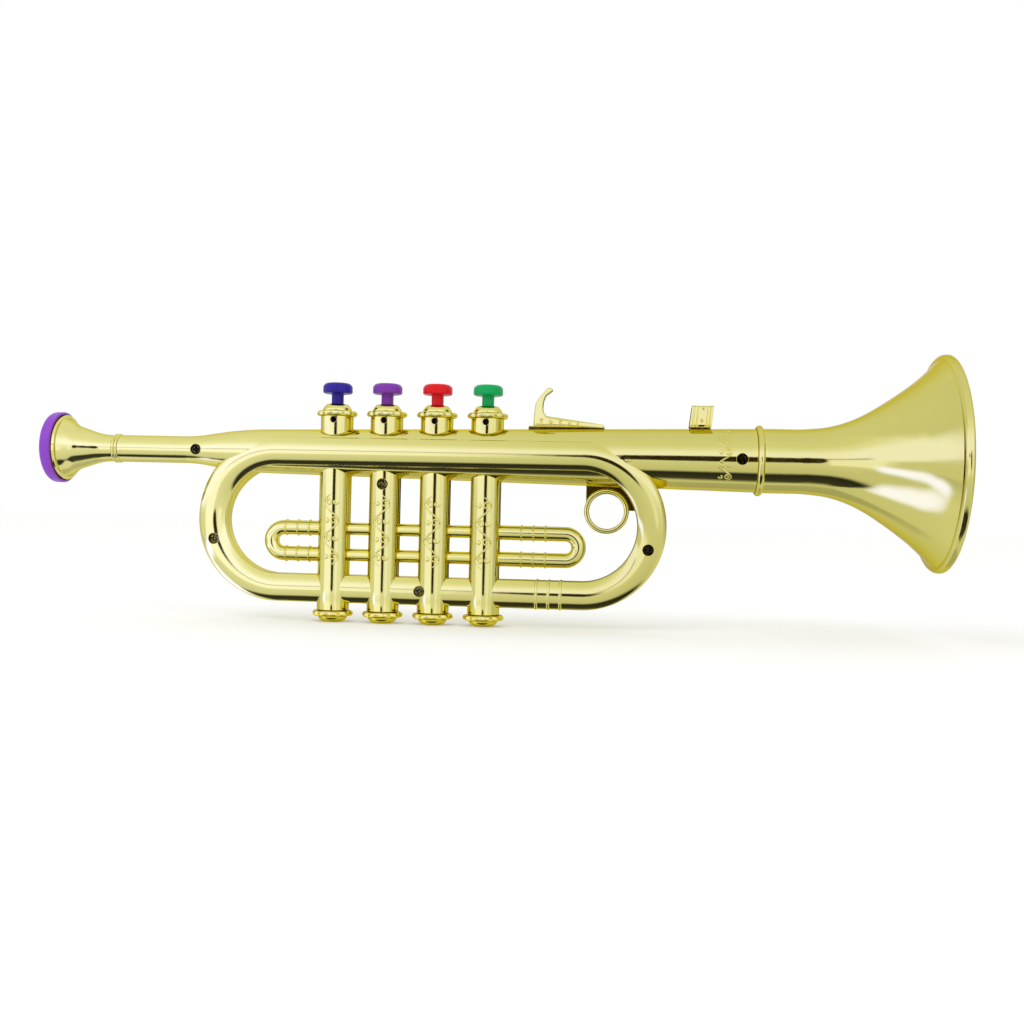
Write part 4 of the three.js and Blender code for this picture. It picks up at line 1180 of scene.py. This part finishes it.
# The brightest light in the room; colour stops hold no more than 1, so they are shares of it
ROOM_PEAK = 3.2
ROOM_AHEAD = [
    (-90, 0.88, 0.9), (-86, 0.7, 0.9), (-80, 0.25, 0.9), (-76, 0.06, 1), (-51, 0.03, 1),
    (-48, 0.3, 1), (-43, 0.8, 1), (-14, 0.94, 1.05), (2, 1.1, 1.3), (14, 1.34, 1.7),
    (26, 1.3, 1.6), (36, 1.14, 1.25), (50, 1.0, 1), (90, 0.94, 1)]
ROOM_AROUND = [
    (-90, 0.85, 0.9), (-80, 0.85, 1), (-55, 0.9, 1), (-25, 0.98, 1), (-10, 0.7, 1), (4, 0.7, 1),
    (14, 0.86, 1), (35, 0.9, 1), (60, 0.94, 1), (90, 0.94, 1)]
# Windows and walls: how far to the side, half width and fade, how high, half height and fade, all
# in degrees, then brightness and how cool
ROOM_PATCHES = (
    (-31, 19, 6, -1, 9, 5, 1.3, 1.42), (29, 6, 5, -2, 8, 6, 1.2, 1.3),
    (-72, 16, 3, -4.5, 5, 2, 0.9, 1), (-54, 12, 5, -28, 8, 4, 0.86, 1))
# The camera as fitted to the photograph: place, aim, roll in degrees and focal length
CAMERA_PLACE = mm([65.3, -544.7, -10.95])
CAMERA_AIM = mm([14.1, 0, -10.95])
CAMERA_ROLL = 1.39
CAMERA_LENS = 41.03


def calc(tree, operation, first, second=0.0):
    """Arithmetic on one or two values."""
    return add(tree, "ShaderNodeMath", {0: first, 1: second}, operation=operation).outputs[0]


def product(tree, *values):
    """Values multiplied together."""
    whole = values[0]
    for value in values[1:]:
        whole = calc(tree, "MULTIPLY", whole, value)
    return whole


def band(tree, value, centre, half, fade):
    """1 within a half width of a centre and 0 past the fade, all in degrees."""
    away = calc(tree, "ABSOLUTE", calc(tree, "SUBTRACT", value, math.radians(centre)))
    return ranged(tree, away, math.radians(half + fade), math.radians(half),
                  interpolation_type="SMOOTHSTEP")


def oval(tree, turn, rise, side, wide, high, tall, inner=0.62):
    """1 in the middle of an oval of directions and 0 outside it, from the sum of two squares."""
    squares = []
    for value, centre, half in ((turn, side, wide), (rise, high, tall)):
        share = product(tree, calc(tree, "SUBTRACT", value, math.radians(centre)),
                        1 / math.radians(half))
        squares.append(product(tree, share, share))
    spread = calc(tree, "ADD", *squares)
    return ranged(tree, spread, 1.72 - inner, inner, interpolation_type="SMOOTHSTEP")


def room_light(red, green, blue):
    """A light's colour as shares of the room's brightest light."""
    return (red / ROOM_PEAK, green / ROOM_PEAK, blue / ROOM_PEAK, 1)


def curve_of(tree, rise, stops):
    """A colour by elevation, from stops of an angle in degrees, a brightness and how cool it is."""
    limit = 90
    share = ranged(tree, rise, -math.radians(limit), math.radians(limit))
    ramp = add(tree, "ShaderNodeValToRGB", {"Fac": share})
    points = ramp.color_ramp.elements
    shades = [room_light(level, level, level * cool) for _, level, cool in stops]
    for (angle, _, _), shade in zip(stops[1:-1], shades[1:-1]):
        points.new((angle + limit) / (2 * limit)).color = shade
    points[0].color, points[-1].color = shades[0], shades[-1]
    return ramp.outputs["Color"]


def studio_world():
    """White room for the camera, even white light, and a plain soft room by direction in
    reflections.

    Brightness is a curve of elevation: even overhead, brightest just above the horizon and pale
    below it, with a dark band below the front where the table's edge is. On the left stand a bright
    window, a slanting slat and a bright oval low down, and straight ahead and behind are a dark
    oval and a thin dark bar.
    """
    world = bpy.data.worlds.new("Soft_room")
    world.use_nodes = True
    tree = world.node_tree
    tree.nodes.clear()
    way = add(tree, "ShaderNodeTexCoord").outputs["Generated"]
    x, y, z = add(tree, "ShaderNodeSeparateXYZ", {"Vector": way}).outputs
    rise = calc(tree, "ARCSINE", z)
    turn = calc(tree, "ARCTAN2", x, product(tree, y, -1.0))
    either = calc(tree, "ARCTAN2", x, calc(tree, "ABSOLUTE", y))
    behind = product(tree, band(tree, either, 0, 40, 14), 0.35)
    facing = calc(tree, "MAXIMUM", band(tree, turn, 0, 62, 9), behind)
    room = blended(tree, facing, curve_of(tree, rise, ROOM_AROUND),
                   curve_of(tree, rise, ROOM_AHEAD))
    lights = [
        ((band(tree, turn, side, wide, side_fade), band(tree, rise, high, tall, high_fade)),
         (level, level, level * cool))
        for side, wide, side_fade, high, tall, high_fade, level, cool in ROOM_PATCHES]
    slant = calc(tree, "SUBTRACT", rise, product(tree, turn, 0.3))
    lights += [
        ((oval(tree, turn, rise, -56, 40, 9, 18, 0.3), band(tree, rise, 28, 23, 6)),
         (1.34, 1.34, 2.4)),
        ((band(tree, slant, 3.4, 1.4, 6), band(tree, turn, -66, 12, 11)), (1.54, 1.58, 4.6)),
        ((oval(tree, turn, rise, -77, 14, -40, 16, 0.05),), (1.54, 1.58, 4.4)),
        ((band(tree, either, -24, 16, 8), band(tree, rise, 6.5, 1.0, 1.6), 0.6),
         (0.25, 0.22, 0.12)),
        ((oval(tree, either, rise, 3.2, 10.5, 2, 10.5),), (0.0384, 0.0224, 0.0064))]
    for shares, light in lights:
        room = blended(tree, product(tree, *shares), room, room_light(*light))
    seen, plain, white = (
        add(tree, "ShaderNodeBackground", {"Color": colour, "Strength": strength}).outputs[0]
        for colour, strength in ((room, ROOM_PEAK), ((1, 1, 1, 1), 0.94), ((1, 1, 1, 1), 1.0)))
    path = add(tree, "ShaderNodeLightPath").outputs
    mirrored = calc(tree, "MAXIMUM", path["Is Glossy Ray"], path["Is Transmission Ray"])
    lit = add(tree, "ShaderNodeMixShader", {"Fac": mirrored, 1: plain, 2: seen}).outputs[0]
    mixed = add(tree, "ShaderNodeMixShader",
                {"Fac": path["Is Camera Ray"], 1: lit, 2: white}).outputs[0]
    add(tree, "ShaderNodeOutputWorld", {"Surface": mixed})
    bpy.context.scene.world = world


def floor_sheet():
    """Matt white paper: a very fine tooth, and no gloss."""
    material, tree, place = blank("White_paper")
    normal = raised(tree, noise(tree, place, mm(1.5), 3), 0.05, mm(0.05))
    paper = add(tree, "ShaderNodeBsdfDiffuse", {"Color": linear(colours().floor), "Normal": normal})
    seen = add(tree, "ShaderNodeLightPath").outputs["Is Camera Ray"]
    lift = add(tree, "ShaderNodeEmission",
               {"Color": (1, 1, 1, 1), "Strength": product(tree, seen, 0.14)})
    return surfaced(material, {0: paper.outputs[0], 1: lift.outputs[0]}, "ShaderNodeAddShader")


def aimed(obj, place, target, roll=0.0):
    """Puts an object at a place, facing a target, turned about that line by a roll."""
    back = np.array(place, float) - np.array(target, float)
    back /= np.linalg.norm(back)
    right = np.cross((0, 0, 1), back)
    right /= np.linalg.norm(right)
    up = np.cross(back, right)
    right, up = (right * math.cos(roll) + up * math.sin(roll),
                 up * math.cos(roll) - right * math.sin(roll))
    turn = np.stack([right, up, back], 1)
    obj.matrix_world = Matrix([(*row, p) for row, p in zip(turn, place)] + [(0, 0, 0, 1)])


# Operators: each makes one piece or a group of like pieces

class BodyShells(bpy.types.Operator):
    """The two moulded half shells: main tube, loop, casings, small slides and finger ring"""
    bl_idname = "trumpet.body_shells"
    bl_label = "Body shells"

    def execute(self, context):
        for half, node in zip(half_shells(), ("body_front", "body_rear")):
            gild(half, node)
        return {"FINISHED"}


class Bell(bpy.types.Operator):
    """The flared bell with its collar and rolled lip"""
    bl_idname = "trumpet.bell"
    bl_label = "Bell"

    def execute(self, context):
        gild(bell_form(), "bell", crease=17)
        return {"FINISHED"}


class Mouthpiece(bpy.types.Operator):
    """The gold cup and its coloured rim"""
    bl_idname = "trumpet.mouthpiece"
    bl_label = "Mouthpiece"

    def execute(self, context):
        gild(cup_form(), "mouthpiece_cup")
        purple = finish("rim", moulded_plastic, "Moulded_purple", colours().rim, 0.36)
        dress(rim_form(), purple, "rim_purple", HOUSING, "mouthpiece_rim")
        return {"FINISHED"}


class ValveCaps(bpy.types.Operator):
    """Beaded caps over and under each valve"""
    bl_idname = "trumpet.valve_caps"
    bl_label = "Valve caps"

    def execute(self, context):
        for i in range(VALVES):
            for kind, top in (("valve_cap", True), ("bottom_cap", False)):
                piece = cap_form(f"{kind.capitalize()}_{i + 1}", VALVE_PITCH * i, top)
                gild(piece, f"{kind}_{i + 1}", crease=35)
        return {"FINISHED"}


class Keys(bpy.types.Operator):
    """The four coloured keys with their stems"""
    bl_idname = "trumpet.keys"
    bl_label = "Keys"

    def execute(self, context):
        for i, name in enumerate(("blue", "violet", "red", "green")):
            value = getattr(colours(), f"key_{i + 1}")
            plastic = finish(name, moulded_plastic, f"Moulded_{name}", value, 0.33)
            key = key_form(f"Key_button_{i + 1}", VALVE_PITCH * i)
            dress(key, plastic, f"key_{name}", f"key_{i + 1}_body", f"key_{i + 1}")
        return {"FINISHED"}


class Screws(bpy.types.Operator):
    """The six cross-head screws"""
    bl_idname = "trumpet.screws"
    bl_label = "Screws"

    def execute(self, context):
        # A darker and a lighter copy of one steel: on the second to fourth screws the lighter
        # copy's pale patches are a painted highlight over the wear
        deep = finish("screw", blackened_steel, "Blackened_steel", colours().screw, "#5E5A38", 0.47)
        wear_and_highlight = finish("screw_with_painted_highlight", blackened_steel, "Blackened_steel_with_painted_highlight",
                      "#2A2718", "#A09654", 0.44)
        steels = (deep, wear_and_highlight, wear_and_highlight, wear_and_highlight, deep, deep)
        for i, ((x, z), steel) in enumerate(zip(screw_places(), steels)):
            dress(screw_form(f"Cross_screw_{i + 1}", x, z), steel, "screw_steel",
                  HOUSING, f"screw_{i + 1}")
        return {"FINISHED"}


class FingerHook(bpy.types.Operator):
    """The hook that the little finger pulls on, with its saddle"""
    bl_idname = "trumpet.finger_hook"
    bl_label = "Finger hook"

    def execute(self, context):
        gild(hook_form(), "finger_hook")
        return {"FINISHED"}


class ClipSocket(bpy.types.Operator):
    """The fluted socket for a music clip"""
    bl_idname = "trumpet.clip_socket"
    bl_label = "Clip socket"

    def execute(self, context):
        gild(socket_form(), "clip_socket", crease=40)
        return {"FINISHED"}


class Scrollwork(bpy.types.Operator):
    """Raised vines and curls on the shells, hook and socket, and fillets in the windows' corners"""
    bl_idname = "trumpet.scrollwork"
    bl_label = "Scrollwork"

    def execute(self, context):
        kinds = (
            ("Casing", casing_scrolls, 0.48), ("Tube", tube_scrolls, 0.44),
            ("Small", small_scrolls, 0.28))
        for side, face in ((-1, "front"), (1, "rear")):
            for kind, lines, thick in kinds:
                gild(relief(f"{kind}_scrolls_{face}", lines(side), mm(thick)))
        gild(window_corners())
        return {"FINISHED"}


class InnerParts(bpy.types.Operator):
    """Spring coils, and finishes for inner pieces that keep their meshes"""
    bl_idname = "trumpet.inner_parts"
    bl_label = "Inner parts"

    def execute(self, context):
        # Black nitrile rubber: matt and slightly mottled
        rubber = finish("rubber", inner_finish, "Seal_rubber", "#2A2A2A", 0.0, 0.75, mm(0.6))
        # Bright spring wire: drawn, so smooth with faint streaks
        wire = finish("wire", inner_finish, "Spring_wire", "#B9BCC0", 1.0, 0.28, mm(0.5))
        # Rolled brass strip: warm yellow with a rolled grain
        brass = finish("brass", inner_finish, "Reed_brass", "#C79A3C", 1.0, 0.3, mm(0.9))
        # Uncoloured polystyrene: cream and satin
        cream = finish("cream", inner_finish, "Cream_polystyrene", "#E6E2D2", 0.0, 0.5, mm(1.2))
        kept = {"reed_block": cream}
        for i in range(1, VALVES + 1):
            kept |= {f"key_seal_{i}": rubber, f"reed_{i}": brass}
            x = VALVE_PITCH * (i - 1)
            coil = dress(key_coil(f"Key_coil_{i}", x), wire, "spring_steel",
                         HOUSING, f"key_spring_{i}")
            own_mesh(coil)
        for node, material in kept.items():
            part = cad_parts[node]
            part.data.materials.clear()
            part.data.materials.append(material)
            for slot in part.material_slots:
                slot.material = material
        return {"FINISHED"}


class Stage(bpy.types.Operator):
    """Pale floor, soft room light and the camera at the photograph's angle"""
    bl_idname = "trumpet.stage"
    bl_label = "Stage"

    def execute(self, context):
        scene = context.scene
        scene.view_settings.view_transform = "Standard"
        studio_world()
        wide, level = 4.0, SOLID_BOX[0][2] - mm(0.05)
        corners = [(x * wide, y * wide, level) for x, y in ((-1, -1), (1, -1), (1, 1), (-1, 1))]
        ground = bpy.data.meshes.new("Floor")
        ground.from_pydata(corners, [], [(0, 1, 2, 3)])
        ground.materials.append(floor_sheet())
        box = bpy.data.lights.new("Softbox", "AREA")
        box.energy, box.size = 3.0, 0.9
        lens = bpy.data.cameras.new("Camera")
        lens.lens, lens.sensor_width = CAMERA_LENS, 36
        lens.clip_start, lens.clip_end = 0.01, 50
        floor, lamp, camera = (bpy.data.objects.new(data.name, data)
                               for data in (ground, box, lens))
        for item in (floor, lamp, camera):
            scene.collection.objects.link(item)
        floor.visible_glossy = lamp.visible_glossy = False
        aimed(lamp, (-0.5, -0.9, 1.1), (0, 0, 0))
        aimed(camera, CAMERA_PLACE, CAMERA_AIM, math.radians(CAMERA_ROLL))
        scene.camera = camera
        return {"FINISHED"}


OPERATORS = (BodyShells, Bell, Mouthpiece, ValveCaps, Keys, Screws, FingerHook, ClipSocket,
             Scrollwork, InnerParts, Stage)


class TrumpetPanel(bpy.types.Panel):
    """Lists the trumpet's sizes and the operators that make its pieces"""
    bl_idname = "VIEW3D_PT_trumpet"
    bl_label = "Toy trumpet"
    bl_space_type = "VIEW_3D"
    bl_region_type = "UI"
    bl_category = "Trumpet"

    def draw(self, context):
        for operator in OPERATORS:
            self.layout.operator(operator.bl_idname)
        for name in GROUPS:
            settings = getattr(context.scene, name)
            for prop in settings.bl_rna.properties:
                if prop.identifier not in ("rna_type", "name"):
                    self.layout.prop(settings, prop.identifier)


GROUPS = {
    "trumpet_tube": TubeSizes, "trumpet_loop": LoopSizes, "trumpet_caps": CapSizes,
    "trumpet_colours": Colours}
CLASSES = (*GROUPS.values(), *OPERATORS, TrumpetPanel)


def register():
    for each in CLASSES:
        bpy.utils.register_class(each)
    for name, group in GROUPS.items():
        setattr(bpy.types.Scene, name, bpy.props.PointerProperty(type=group))


def unregister():
    for name in GROUPS:
        delattr(bpy.types.Scene, name)
    for each in reversed(CLASSES):
        bpy.utils.unregister_class(each)


def main():
    register()
    for operator in OPERATORS:
        group, name = operator.bl_idname.split(".")
        getattr(getattr(bpy.ops, group), name)()


if __name__ == "__main__":
    main()
